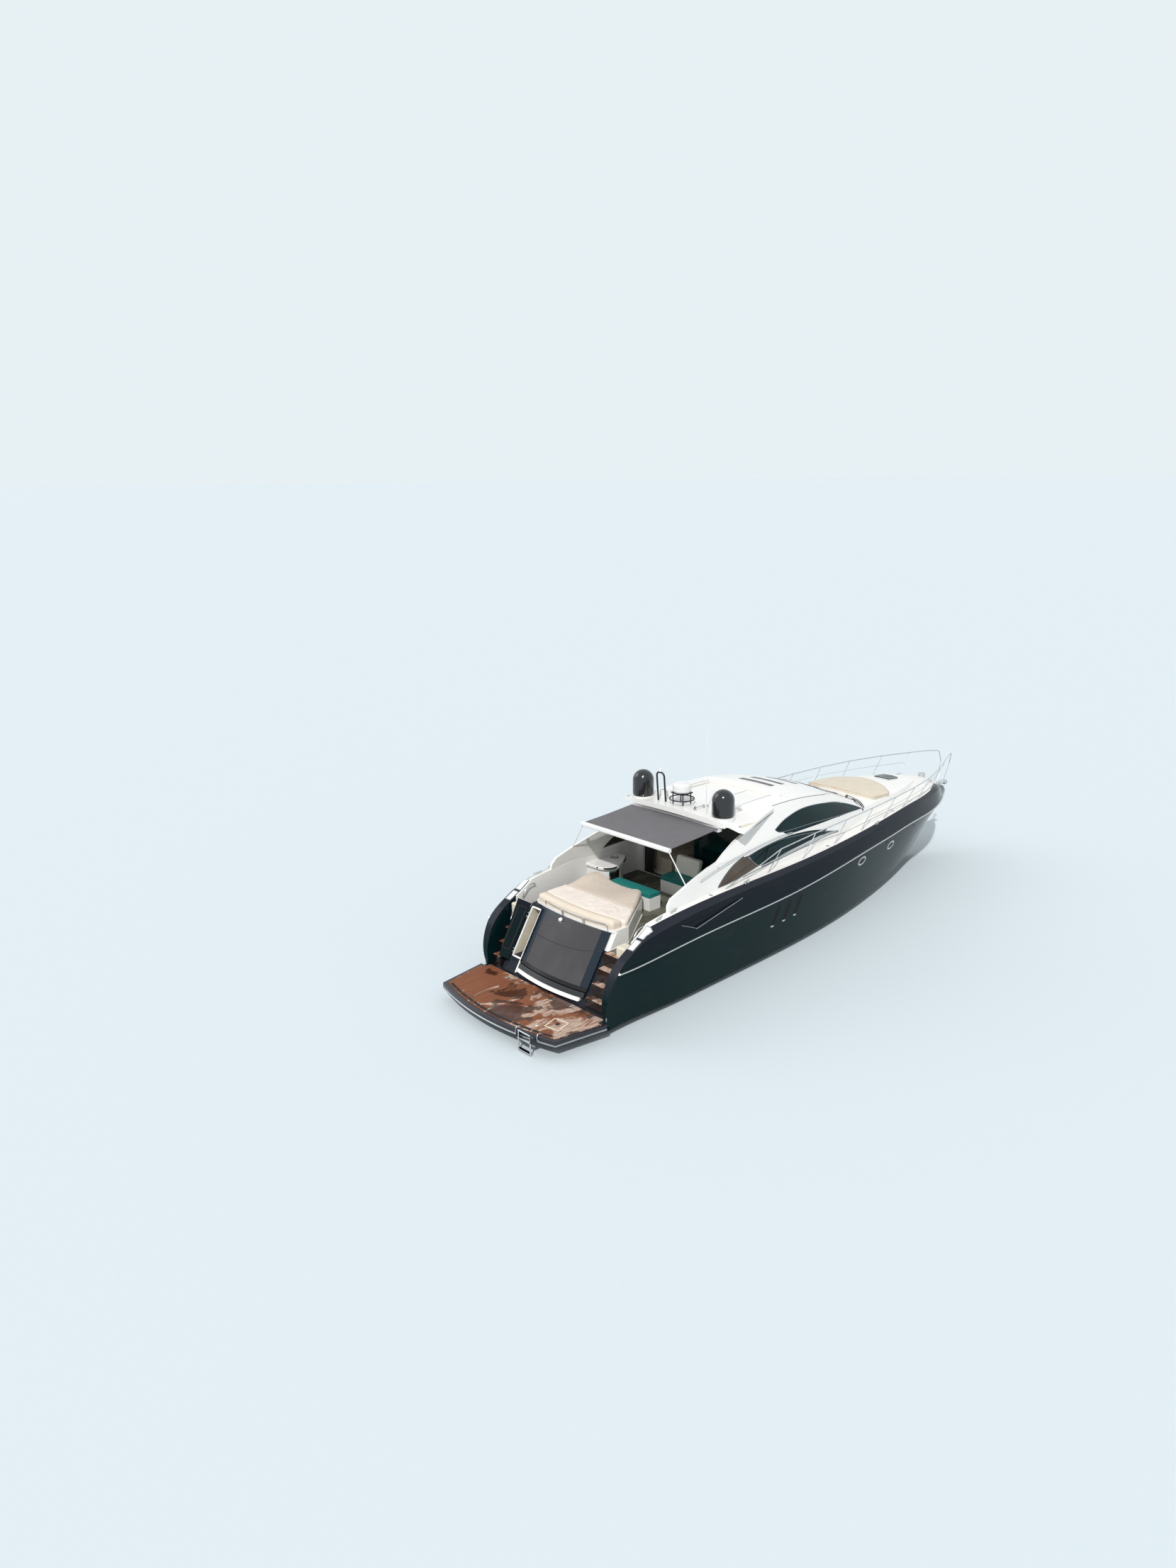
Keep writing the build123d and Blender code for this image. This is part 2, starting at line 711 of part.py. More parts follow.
def screen_prism():
    """windscreen panes in plan"""
    with BuildPart() as prism:
        for top0, foot0, top1, foot1 in screen_panes:
            with BuildSketch(Plane.XY.offset(2600)):
                with BuildLine():
                    Polyline(
                        (screen_top_x, top0), (screen_foot_x, foot0), (screen_foot_x, foot1), (screen_top_x, top1),
                        close=True,
                    )
                make_face()
            extrude(amount=1600)
    return prism.part


sunroof_aft, sunroof_front, sunroof_y = -2900, -1290, 1050
camber_r = 11100
camber_z = 4100 - camber_r
slot_top, slot_high = 50, 50
slot_aft, slot_y = -3800, 1100


def cambered(x0, x1, half, top_radius, thick):
    """curved plate along the boat, part of a cylinder"""
    with BuildPart() as plate:
        with BuildSketch(Plane.YZ.offset(x0)):
            with Locations((0, camber_z)):
                Circle(top_radius)
                Circle(top_radius - thick, mode=Mode.SUBTRACT)
            with Locations((0, camber_z + top_radius)):
                Rectangle(2 * half, top_radius, mode=Mode.INTERSECT)
        extrude(amount=x1 - x0)
    return plate.part


deck_hole = deck_hatch_half - deck_hatch_lap
deck_hole_z = 2740
cabin_void = roof_inside.part & block((-far, -far, 0), (cabin_front, far, 6000))
with BuildPart() as slab_end:
    with BuildSketch(Plane.XY.offset(slab_z - 1)):
        with BuildLine():
            ThreePointArc((slab_end_x, -slab_end_y), (slab_end_x - slab_bow, 0), (slab_end_x, slab_end_y))
            Polyline((slab_end_x, slab_end_y), (-far, slab_end_y), (-far, -slab_end_y), (slab_end_x, -slab_end_y))
        make_face()
    extrude(amount=1000)
with BuildPart() as ridge_band:
    with BuildSketch(Plane.XY.offset(slab_z)):
        with BuildLine():
            start, end = (ridge_x, -sunroof_y - ridge_over), (ridge_x, sunroof_y + ridge_over)
            ThreePointArc(start, (ridge_x + ridge_bow, 0), end)
            Line(end, (ridge_x + ridge_wide, end[1]))
            ThreePointArc(
                (ridge_x + ridge_wide, end[1]), (ridge_x + ridge_bow + ridge_wide, 0), (ridge_x + ridge_wide, start[1])
            )
            Line((ridge_x + ridge_wide, start[1]), start)
        make_face()
    extrude(amount=1000)
sunroof_ridge = roof_form.part.moved(Location((0, 0, ridge_high))) & ridge_band.part
with BuildPart() as superstructure:
    add(roof_form.part)
    add(cabin_void, mode=Mode.SUBTRACT)
    add(side_prism(aft_cut, -far, far), mode=Mode.SUBTRACT)
    add(slab_end.part, mode=Mode.SUBTRACT)
    add(sunroof_ridge)
    for outline in (upper_outline, lower_outline, quarter_outline):
        add(window_prism(outline), mode=Mode.SUBTRACT)
    add(screen_prism(), mode=Mode.SUBTRACT)
    add(block((sunroof_aft, -sunroof_y, 3600), (sunroof_front, sunroof_y, 4300)), mode=Mode.SUBTRACT)
    add(cambered(slot_aft, sunroof_front, slot_y, camber_r - slot_top, slot_high), mode=Mode.SUBTRACT)
    add(deck_form.part, mode=Mode.SUBTRACT)
    add(hull_form.part, mode=Mode.SUBTRACT)
    add(
        block(
            (deck_hatch_x - deck_hole, -deck_hole, deck_hole_z), (deck_hatch_x + deck_hole, deck_hole, slab_z),
        ),
        mode=Mode.SUBTRACT,
    )
superstructure_body = superstructure.part.solids().sort_by(SortBy.VOLUME)[-1]
finish(superstructure_body, "superstructure")

with BuildPart() as sunroof_panel:
    add(
        cambered(
            sunroof_aft + run_gap, sunroof_front - run_gap, slot_y - run_gap,
            camber_r - slot_top - 10, slot_high - 10 - seat_gap,
        )
    )
finish(sunroof_panel.part, "sunroof_panel")

panes = roof_form.part - glass_inside.part
for name, outline in (
    ("upper_windows", upper_outline), ("lower_windows", lower_outline), ("quarter_glass", quarter_outline),
):
    finish(panes & window_prism(outline), name)
finish(panes & screen_prism(), "windscreen")

# Rub rail along the hull's widest line, both sides
rub_high, rub_proud = 50, 24
rub_sections = []
for x, _, _, _, rub_y, rub_z, *_ in hull_stations[:-1]:
    with BuildSketch(Plane.YZ.offset(x)) as rub_face:
        with BuildLine():
            Polyline(
                (rub_y - 40, rub_z - rub_high / 2), (rub_y + rub_proud, rub_z - rub_high / 3),
                (rub_y + rub_proud, rub_z + rub_high / 3), (rub_y - 40, rub_z + rub_high / 2), close=True,
            )
        make_face()
    rub_sections.append(rub_face.sketch)
with BuildPart() as rub_rails:
    loft(sections=rub_sections)
    mirror(about=Plane.XZ)
    add(hull_form.part, mode=Mode.SUBTRACT)
    add(stern_rake, mode=Mode.SUBTRACT)
finish(rub_rails.part, "rub_rails")

# Saloon's aft bulkhead: a dark frame with a fixed pane to starboard and a sliding door behind it
bulkhead_thick = 60
bulk_x0, bulk_x1 = bulkhead_x + 20, bulkhead_x + 20 + bulkhead_thick
door_half = 1500            # narrow enough for the sides' lean at the door's head
door_foot, door_head = sole_top + 30, 3600
bulkhead_side = saloon_y - liner - 10
with BuildPart() as saloon_bulkhead:
    add(cabin_void & block((bulk_x0, -far, 2300), (bulk_x1, far, 5000)))
    add(deck_form.part, mode=Mode.SUBTRACT)
    add(hull_form.part, mode=Mode.SUBTRACT)
    add(block((bulk_x0, -bulkhead_side, sole_top), (bulk_x1, bulkhead_side, 2600)))
    add(block((bulk_x0 - 1, -door_half, door_foot), (bulk_x1 + 1, door_half, door_head)), mode=Mode.SUBTRACT)
finish(saloon_bulkhead.part, "saloon_bulkhead")

door_thick = 40
track_gap = 6
door_inset, door_lap, door_over = 20, 60, 20
with BuildPart() as fixed_glass:
    add(block((bulk_x0, -door_half, door_foot), (bulk_x0 + glass, 0, door_head)))
finish(fixed_glass.part, "saloon_glass")
with BuildPart() as saloon_door:
    add(
        block(
            (bulk_x1 + track_gap, -door_half + door_inset, sole_top + seat_gap),
            (bulk_x1 + track_gap + door_thick, door_lap, door_head + door_over),
        )
    )
finish(saloon_door.part, "saloon_door")

# Winglets at the hardtop's aft corners, carrying its rolled edge outward and down
winglet_plan = [
    (-3840, 1400), (-3800, 1750), (-3760, 2020), (-3680, 2140), (-3470, 2090), (-2900, 1930),
    (-1900, 1660), (-1900, 1400),
]
winglet_section = [(1400, 3985), (1600, 3975), (1800, 3930), (2150, 3800), (2150, 3765), (1750, 3865), (1400, 3870)]
with BuildPart() as roof_winglets:
    with BuildSketch(Plane.YZ.offset(winglet_plan[0][0])):
        with BuildLine():
            Polyline(*winglet_section, close=True)
        make_face()
    extrude(amount=winglet_plan[-1][0] - winglet_plan[0][0])
    add(plan_prism(winglet_plan, 3700, 4100), mode=Mode.INTERSECT)
    mirror(about=Plane.XZ)
    add(roof_form.part, mode=Mode.SUBTRACT)
finish(roof_winglets.part, "roof_winglets")

# Awning: fabric, rounded lead bar, folding arms and poles
awning_bar_x, awning_bar_z = -5710, 3680
awning_half = 1530
awning_root_x, awning_root_z = -3900, 3790
cassette_front, cassette_low, cassette_high = -3760, 3715, 3870
cassette_inset = 40
bar_size = 110
fabric_thick = 8
fabric_rise = 20            # above the bar's middle and the root
elbow = (-4900, 700, 3680)
pole_foot = (-5630, 1985, 2895)
pole_r, arm_r = 14, 18
with BuildPart() as awning_fabric:
    add(side_prism(
        [
            (awning_bar_x + bar_size / 2, awning_bar_z + fabric_rise), (awning_root_x, awning_root_z + fabric_rise),
            (awning_root_x, awning_root_z + fabric_rise + fabric_thick),
            (awning_bar_x + bar_size / 2, awning_bar_z + fabric_rise + fabric_thick),
        ],
        -awning_half + cassette_inset, awning_half - cassette_inset,
    ))
finish(awning_fabric.part, "awning_fabric")
with BuildPart() as awning_frame:
    with BuildSketch(Plane.XZ.offset(-awning_half)):
        with Locations((awning_bar_x, awning_bar_z)):
            RectangleRounded(bar_size, bar_size, 35)
    extrude(amount=2 * awning_half)
    for side in (-1, 1):
        add(
            bar_along(
                [
                    (awning_bar_x, side * (awning_half - 60), awning_bar_z),
                    (pole_foot[0], side * pole_foot[1], pole_foot[2]),
                ],
                pole_r,
            )
        )
        add(
            bar_along(
                [
                    (awning_bar_x, side * (awning_half - 250), awning_bar_z - 10), (elbow[0], side * elbow[1], elbow[2]),
                    (awning_root_x + 60, side * (awning_half - 230), cassette_low + 45),
                ],
                arm_r, 60,
            )
        )
    add(
        block(
            (awning_root_x, -awning_half + cassette_inset, cassette_low),
            (cassette_front, awning_half - cassette_inset, cassette_high),
        )
    )
    add(superstructure_body, mode=Mode.SUBTRACT)
finish(awning_frame.part.solids().sort_by(SortBy.VOLUME)[-1], "awning_frame")

# Roof equipment
dome_x, dome_y, dome_foot, dome_r, dome_side = -3600, 1380, 4060, 285, 400
dome_lip, dome_lip_high = 12, 60
roof_low = 3900             # inside the hardtop, for feet that its top trims
with BuildPart() as dome:
    with BuildSketch(Plane.XZ):
        with BuildLine():
            Polyline(
                (0, dome_side + dome_r), (0, 0), (dome_r - dome_lip, 0), (dome_r, dome_lip_high), (dome_r, dome_side)
            )
            CenterArc((0, dome_side), dome_r, 0, 90)
        make_face()
    revolve(axis=Axis.Z)
with BuildPart() as satcom_domes:
    for side in (1, -1):
        add(dome.part.moved(Location((dome_x, side * dome_y, dome_foot + seat_gap))))
finish(satcom_domes.part, "satcom_domes")

radar_x, radar_z = -3600, 4400
radar_leg_x, radar_leg_y = 150, 170
guard_r, guard_z = 320, 4230
mast_x, mast_y, mast_half, mast_top = -3820, 560, 130, 4860
with BuildPart() as radar_stand:
    for x in (-radar_leg_x, radar_leg_x):
        for y in (-radar_leg_y, radar_leg_y):
            add(bar_along([(radar_x + x, y, roof_low), (radar_x + x, y, radar_z - 20)], rail_r))
            out = guard_r / hypot(x, y)
            add(bar_along([(radar_x + x, y, guard_z), (radar_x + x * out, y * out, guard_z)], rail_r / 2))
    with Locations((radar_x, 0, radar_z - 15)):
        Box(2 * radar_leg_x + 80, 2 * radar_leg_y + 80, 30)
    with Locations((radar_x, 0, guard_z)):
        Torus(guard_r, rail_r)
    add(
        bar_along(
            [
                (mast_x + 90, mast_y - mast_half, roof_low), (mast_x, mast_y - mast_half, mast_top),
                (mast_x, mast_y + mast_half, mast_top), (mast_x + 90, mast_y + mast_half, roof_low),
            ],
            24, 110,
        )
    )
    add(roof_form.part, mode=Mode.SUBTRACT)
finish(radar_stand.part, "radar_stand")
radome_r, radome_high = 240, 240
with BuildPart() as radome:
    with Locations((radar_x, 0, radar_z + seat_gap)):
        Cylinder(radome_r, radome_high, align=(Align.CENTER, Align.CENTER, Align.MIN))
    fillet(radome.edges().filter_by(GeomType.CIRCLE), radius=60)
finish(radome.part, "radome")
whip_x, whip_y, whip_top, whip_r = -3800, -1000, 6300, 9
lamp_r, lamp_long, lamp_x, lamp_y, lamp_z = 85, 300, -3100, -1345, 4230
plinth_r = 310
small_dome_x, small_dome_y, small_dome_r, small_dome_top = -3250, 950, 110, 4200
with BuildPart() as roof_fittings:
    add(bar_along([(whip_x, whip_y, roof_low), (whip_x - 30, whip_y, whip_top)], whip_r))
    add(bar_along([(lamp_x - lamp_long / 2, lamp_y, lamp_z), (lamp_x + lamp_long / 2, lamp_y - 40, lamp_z)], lamp_r))
    add(block((lamp_x - 50, lamp_y - 50, roof_low), (lamp_x + 50, lamp_y + 50, lamp_z)))
    with Locations((dome_x, dome_y, roof_low), (dome_x, -dome_y, roof_low)):
        Cylinder(plinth_r, dome_foot - roof_low, align=(Align.CENTER, Align.CENTER, Align.MIN))
    with Locations((small_dome_x, small_dome_y, roof_low)):
        Cylinder(small_dome_r, small_dome_top - roof_low, align=(Align.CENTER, Align.CENTER, Align.MIN))
    add(roof_form.part, mode=Mode.SUBTRACT)
    add(roof_winglets.part, mode=Mode.SUBTRACT)
finish(roof_fittings.part, "roof_fittings")

# Guard rails: a tube on each side and its raked stanchions
rail_in = 60
rail_rake = 600             # a stanchion's foot stands this far aft of its top
rail_tops = [
    # x, y, z where a stanchion meets the tube
    (-2160, 2150, 3030), (-650, 2135, 3110), (910, 2050, 3110), (2360, 1940, 3110), (3710, 1840, 3130),
    (5000, 1700, 3140), (6280, 1470, 3150), (7600, 1080, 3160), (8600, 680, 3165),
]
rail_aft = [(-4420, 2140, 2485), (-3900, 2140, 2640), (-3050, 2140, 2790)]
rail_bow = [(9350, 400, 3155), (9800, 230, 3110), (9840, 160, 2750), (9450, 110, 1890)]
rail_bend = 120
with BuildPart() as port_rail:
    add(bar_along([*rail_aft, *rail_tops, *rail_bow], rail_r, rail_bend))
    add(deck_form.part, mode=Mode.SUBTRACT)
    add(hull_form.part, mode=Mode.SUBTRACT)
bow_rail = port_rail.part.solids().sort_by(SortBy.VOLUME)[-1]
finish(bow_rail, "bow_rail_port")
starboard_rail = mirror(bow_rail, about=Plane.XZ)
finish(starboard_rail, "bow_rail_starboard")

with BuildPart() as rail_stanchions:
    for x, y, z in rail_tops:
        foot_x = x - rail_rake
        foot_y = max(beam_at(foot_x, deck_stations, 1) - rail_in, 90)
        add(bar_along([(foot_x, foot_y, beam_at(foot_x, deck_stations, 2) - 60), (x, y, z)], rail_r * 0.8))
    add(bow_rail, mode=Mode.SUBTRACT)
    add(deck_form.part, mode=Mode.SUBTRACT)
    add(hull_form.part, mode=Mode.SUBTRACT)
    mirror(about=Plane.XZ)
stanchion_set = Compound(
    children=[post for post in rail_stanchions.part.solids() if post.bounding_box().size.Z > 200]
)
finish(stanchion_set, "rail_stanchions")

# Foredeck
pad_aft, pad_mid, pad_fore, pad_tip = 3290, 3560, 4480, 5030
pad_half_aft, pad_half_mid = 560, 1190
foredeck_pad_thick = 95


def on_roof(shape, thick):
    """plate of an even thickness, laid on the roof or the trunk inside a shape"""
    above = roof_form.part.moved(Location((0, 0, thick + seat_gap)))
    under = roof_form.part.moved(Location((0, 0, seat_gap)))
    return (above & shape) - under


with BuildPart() as pad_shape:
    with BuildSketch(Plane.XY.offset(2500)) as pad_face:
        with BuildLine():
            Polyline(
                (pad_fore, pad_half_mid), (pad_mid, pad_half_mid), (pad_aft, pad_half_aft),
                (pad_aft, -pad_half_aft), (pad_mid, -pad_half_mid), (pad_fore, -pad_half_mid),
            )
            ThreePointArc((pad_fore, -pad_half_mid), (pad_tip, 0), (pad_fore, pad_half_mid))
        make_face()
        fillet(pad_face.vertices(), radius=150)
    extrude(amount=900)
finish(on_roof(pad_shape.part, foredeck_pad_thick), "foredeck_sunpad")

# Foredeck hatch, its hinge along the forward edge
deck_hatch_thick = 35
deck_pin_r, deck_knuckle_r, deck_knuckle_half, deck_knuckle_y, deck_pin_out = 5, 11, 40, 150, 22
deck_lug_thick, deck_lug_half, deck_lug_sink, deck_plate = 10, 12, 60, 10
deck_leaf = on_roof(
    plan_prism(
        [
            (deck_hatch_x + a * deck_hatch_half, b * deck_hatch_half)
            for a, b in ((-1, -1), (1, -1), (1, 1), (-1, 1))
        ],
        2500, 3200,
    ),
    deck_hatch_thick,
)
deck_pin_x = deck_hatch_x + deck_hatch_half + deck_pin_out
deck_pin_z = deck_leaf.faces().sort_by(Axis.X)[-1].center().Z
with BuildPart() as deck_hatch:
    add(deck_leaf)
    for y in (-deck_knuckle_y, deck_knuckle_y):
        add(
            block(
                (deck_pin_x - deck_pin_out - 5, y - deck_knuckle_half, deck_pin_z - deck_plate / 2),
                (deck_pin_x, y + deck_knuckle_half, deck_pin_z + deck_plate / 2),
            )
        )
        add(cross_bar(deck_pin_x, y, deck_pin_z, deck_knuckle_half, deck_knuckle_r))
        add(
            cross_bar(deck_pin_x, y, deck_pin_z, 2 * deck_knuckle_half, deck_pin_r + shaft_clear),
            mode=Mode.SUBTRACT,
        )
finish(deck_hatch.part, "deck_hatch")
deck_lug_y = deck_knuckle_half + lug_clear
with BuildPart() as deck_hinges:
    for y in (-deck_knuckle_y, deck_knuckle_y):
        add(cross_bar(deck_pin_x, y, deck_pin_z, deck_lug_y + deck_lug_thick, deck_pin_r))
        for start in (y - deck_lug_y - deck_lug_thick, y + deck_lug_y):
            add(
                block(
                    (deck_pin_x - deck_lug_half, start, deck_pin_z - deck_lug_sink),
                    (deck_pin_x + deck_lug_half, start + deck_lug_thick, deck_pin_z + deck_lug_half),
                )
            )
    add(roof_form.part, mode=Mode.SUBTRACT)
finish(deck_hinges.part, "deck_hatch_hinges")

roller_x, roller_long, roller_wide, roller_z, roller_thick = 9450, 900, 150, 2060, 60
windlass_x, windlass_r, windlass_high = 8350, 110, 230
with BuildPart() as anchor_gear:
    with Locations((roller_x, 0, roller_z)):
        Box(roller_long, roller_wide, roller_thick)
    with Locations((9930, 0, 2010)):
        Sphere(90)
    with Locations((windlass_x, 0, 2400)):
        Cylinder(windlass_r, windlass_high, align=(Align.CENTER, Align.CENTER, Align.MIN))
    add(hull_form.part, mode=Mode.SUBTRACT)
    add(deck_form.part, mode=Mode.SUBTRACT)
finish(anchor_gear.part, "anchor_gear")

# Cockpit: wet bar at port, seats along the bulkhead and to starboard, and a bench before the sunpad
seat_foot = sole_top + seat_gap
bar_top, bar_slab, bar_inset = 2330, 70, 55
bar_side = well_y - liner - seat_gap
bar_front = [(-5110, 1620), (-4990, 1370), (-4740, 1280), (-4220, 1480), (-3940, 1700)]
bar_middle, bar_half = -4480, 600
bench_x1, bench_y0, bench_y1 = -4750, -350, 1150
seat_x0, seat_x1, seat_y1 = -3900, -3200, 440
side_seat_x0, side_seat_y1 = -5080, -950
seat_out = -(well_y - liner - 20)
seat_high, cushion_thick, cushion_over = 1970, 100, 12


def bar_plan(inset):
    """the wet bar seen from above, its curved front drawn in by an inset"""
    with BuildSketch() as plan:
        with BuildLine():
            points = [(bar_middle + (x - bar_middle) * (1 - inset / bar_half), y + inset) for x, y in bar_front]
            Spline(*points)
            Polyline(points[-1], (points[-1][0], bar_side), (points[0][0], bar_side), points[0])
        make_face()
    return plan.sketch


with BuildPart() as wet_bar:
    add(on_plan(bar_plan(bar_inset), seat_foot, bar_top - bar_slab - seat_foot + 1))
    add(on_plan(bar_plan(0), bar_top - bar_slab, bar_slab))
    fillet(wet_bar.edges().group_by(Axis.Z)[-1].filter_by(GeomType.BSPLINE), radius=25)
finish(wet_bar.part, "wet_bar")
with BuildPart() as cockpit_settee:
    add(block((seat_x0, seat_out, seat_foot), (seat_x1, seat_y1, seat_high)))
    add(block((side_seat_x0, seat_out, seat_foot), (seat_x0 + 1, side_seat_y1, seat_high)))
    add(block((bench_x, bench_y0, seat_foot), (bench_x1, bench_y1, seat_high)))
finish(cockpit_settee.part, "cockpit_settee")

back_thick, back_high, back_lean = 130, 480, 110


def seat_back(low_corner, along, lean):
    """leaning back cushion that stands on a seat's cushion; along and lean are its run and its tilt in plan"""
    x, y = low_corner
    z = seat_high + seat_gap + cushion_thick
    depth = (-lean[0] * back_thick / back_lean, -lean[1] * back_thick / back_lean)
    with BuildPart() as back:
        with BuildSketch(Plane.XY.offset(z)):
            with BuildLine():
                Polyline(
                    (x, y), (x + along[0], y + along[1]), (x + along[0] + depth[0], y + along[1] + depth[1]),
                    (x + depth[0], y + depth[1]), close=True,
                )
            make_face()
        extrude(amount=back_high, dir=(lean[0], lean[1], back_high))
    return back.part


with BuildPart() as settee_cushions:
    add(
        block(
            (seat_x0 - cushion_over, seat_out, seat_high + seat_gap),
            (seat_x1, seat_y1 + cushion_over, seat_high + seat_gap + cushion_thick),
        )
    )
    add(
        block(
            (side_seat_x0 - cushion_over, seat_out, seat_high + seat_gap),
            (seat_x0 + 1, side_seat_y1 + cushion_over, seat_high + seat_gap + cushion_thick),
        )
    )
    add(
        block(
            (bench_x + 5, bench_y0, seat_high + seat_gap),
            (bench_x1 + cushion_over, bench_y1, seat_high + seat_gap + cushion_thick),
        )
    )
finish(settee_cushions.part, "settee_cushions")
with BuildPart() as settee_backs:
    add(seat_back((seat_x1 - back_lean - 20, seat_y1 - 60), (0, -820), (back_lean, 0)))
    add(seat_back((side_seat_x0 + 60, seat_out + back_lean + 50), (1500, 0), (0, -back_lean)))
finish(settee_backs.part, "settee_backs")

# Hoops along the sunpad's aft edge, on the transom panel's top
hoop_out, hoop_high, hoop_bend = 45, 130, 60
hoop_ends = [(-1120, -430), (-380, 310), (360, 1050)]


def panel_edge_x(y, out):
    """the transom panel's top edge at a place across the boat"""
    middle = slope_x(panel_top) - run_gap - panel_thick / 2 - out
    return middle - panel_bulge * (1 - (y / panel_y) ** 2)


with BuildPart() as transom_rails:
    for y0, y1 in hoop_ends:
        foot = panel_top - 60
        top = lid_top + hoop_high
        add(
            bar_along(
                [
                    (panel_edge_x(y0, 0), y0, foot), (panel_edge_x(y0, hoop_out), y0, top),
                    (panel_edge_x((y0 + y1) / 2, hoop_out), (y0 + y1) / 2, top),
                    (panel_edge_x(y1, hoop_out), y1, top), (panel_edge_x(y1, 0), y1, foot),
                ],
                10, hoop_bend,
            )
        )
    add(transom_panel.part, mode=Mode.SUBTRACT)
    add(sunpad_base.part, mode=Mode.SUBTRACT)
    add(cockpit_sunpad.part, mode=Mode.SUBTRACT)
finish(
    Compound(children=[hoop for hoop in transom_rails.part.solids() if hoop.bounding_box().size.Z > 100]),
    "transom_rails",
)

# Saloon, seen through the glass
wheel_centre = Plane(origin=(400, -900, 2450), z_dir=Vector(-1, 0, 0.55))
wheel_r, wheel_rim, wheel_hub, wheel_spoke = 190, 16, 45, 30
console_y0, console_y1 = -1450, -350
helm_seat_x0, helm_seat_x1, helm_seat_high, helm_back = -700, -100, 2080, 2720
seat_back_thick = 140
sofa_x0, sofa_x1, sofa_y0, sofa_y1, sofa_high, sofa_back = -2800, -300, 1050, 1640, 2060, 2520
with BuildPart() as helm_console:
    add(
        side_prism(
            [(450, seat_foot), (1150, seat_foot), (1150, 2680), (900, 2680), (550, 2470)],
            console_y0, console_y1,
        )
    )
    column_end = wheel_centre.origin - wheel_centre.z_dir * 240
    column_start = wheel_centre.origin - wheel_centre.z_dir * (60 + seat_gap)
    add(bar_along([column_start, column_end], 40))
finish(helm_console.part, "helm_console")
with BuildPart() as helm_seats:
    add(block((helm_seat_x0, console_y0 + 50, seat_foot), (helm_seat_x1, console_y1, helm_seat_high)))
    add(
        block(
            (helm_seat_x0, console_y0 + 50, helm_seat_high - 1),
            (helm_seat_x0 + seat_back_thick, console_y1, helm_back),
        )
    )
finish(helm_seats.part, "helm_seats")
with BuildPart() as helm_wheel:
    with BuildSketch(wheel_centre):
        Circle(wheel_hub)
    extrude(amount=60, both=True)
    rim_plane = Plane(origin=wheel_centre.origin + wheel_centre.x_dir * wheel_r, z_dir=wheel_centre.y_dir)
    with BuildSketch(rim_plane):
        Circle(wheel_rim)
    revolve(axis=Axis(wheel_centre.origin, wheel_centre.z_dir))
    for turn in range(3):
        outward = wheel_centre.x_dir.rotate(Axis((0, 0, 0), wheel_centre.z_dir), 120 * turn)
        with BuildSketch(Plane(origin=wheel_centre.origin, x_dir=wheel_centre.z_dir, z_dir=outward)):
            Rectangle(wheel_rim, wheel_spoke)
        extrude(amount=wheel_r)
finish(helm_wheel.part, "helm_wheel")
with BuildPart() as saloon_sofa:
    add(block((sofa_x0, sofa_y0, seat_foot), (sofa_x1, sofa_y1, sofa_high)))
    add(block((sofa_x0, sofa_y1 - seat_back_thick, sofa_high - 1), (sofa_x1, sofa_y1, sofa_back)))
finish(saloon_sofa.part, "saloon_sofa")

# Running gear
hub_r, hub_long = 70, 190
blade_count = 4
blade_table = [
    # radius, chord, thickness, pitch angle
    (55, 150, 26, 58),
    (200, 260, 16, 36),
    (prop_r, 120, 6, 24),
]


def propeller(side):
    """shaft with its propeller; the two turn opposite ways"""
    centre = Vector(prop_x, side * prop_y, prop_z)
    with BuildPart() as rotor:
        add(shaft_line(side, -160, shaft_long, shaft_r))
        add(shaft_line(side, -hub_long / 2, hub_long / 2, hub_r))
        for blade in range(blade_count):
            out = Vector(0, 0, 1).rotate(Axis((0, 0, 0), shaft_dir), 360 / blade_count * blade + 45)
            across = shaft_dir.cross(out)
            faces = []
            for r, chord, thick, angle in blade_table:
                along = shaft_dir * sin(radians(angle)) * side * -1 + across * cos(radians(angle))
                with BuildSketch(Plane(origin=centre + out * r, x_dir=along, z_dir=out)) as foil:
                    with BuildLine():
                        ThreePointArc((-chord / 2, 0), (0, thick / 2), (chord / 2, 0))
                        ThreePointArc((chord / 2, 0), (0, -thick / 2), (-chord / 2, 0))
                    make_face()
                faces.append(foil.sketch)
            loft(sections=faces)
    return rotor.part


for side, name in ((1, "port"), (-1, "starboard")):
    finish(propeller(side), f"propeller_{name}")

rudder_aft, rudder_fore, rudder_half = -8170, -7880, 30
rudder_foot, rudder_high, rudder_thickest, stock_long = -1280, 740, -7980, 600
for side, name in ((1, "port"), (-1, "starboard")):
    with BuildPart() as rudder:
        with BuildSketch(Plane.XY.offset(rudder_foot)):
            with BuildLine():
                y = side * prop_y
                ThreePointArc((rudder_aft, y), (rudder_thickest, y + rudder_half), (rudder_fore, y))
                ThreePointArc((rudder_fore, y), (rudder_thickest, y - rudder_half), (rudder_aft, y))
            make_face()
        extrude(amount=rudder_high)
        with Locations((rudder_x, side * prop_y, stock_top)):
            Cylinder(stock_r, stock_long, align=(Align.CENTER, Align.CENTER, Align.MAX))
    finish(rudder.part, f"rudder_{name}")

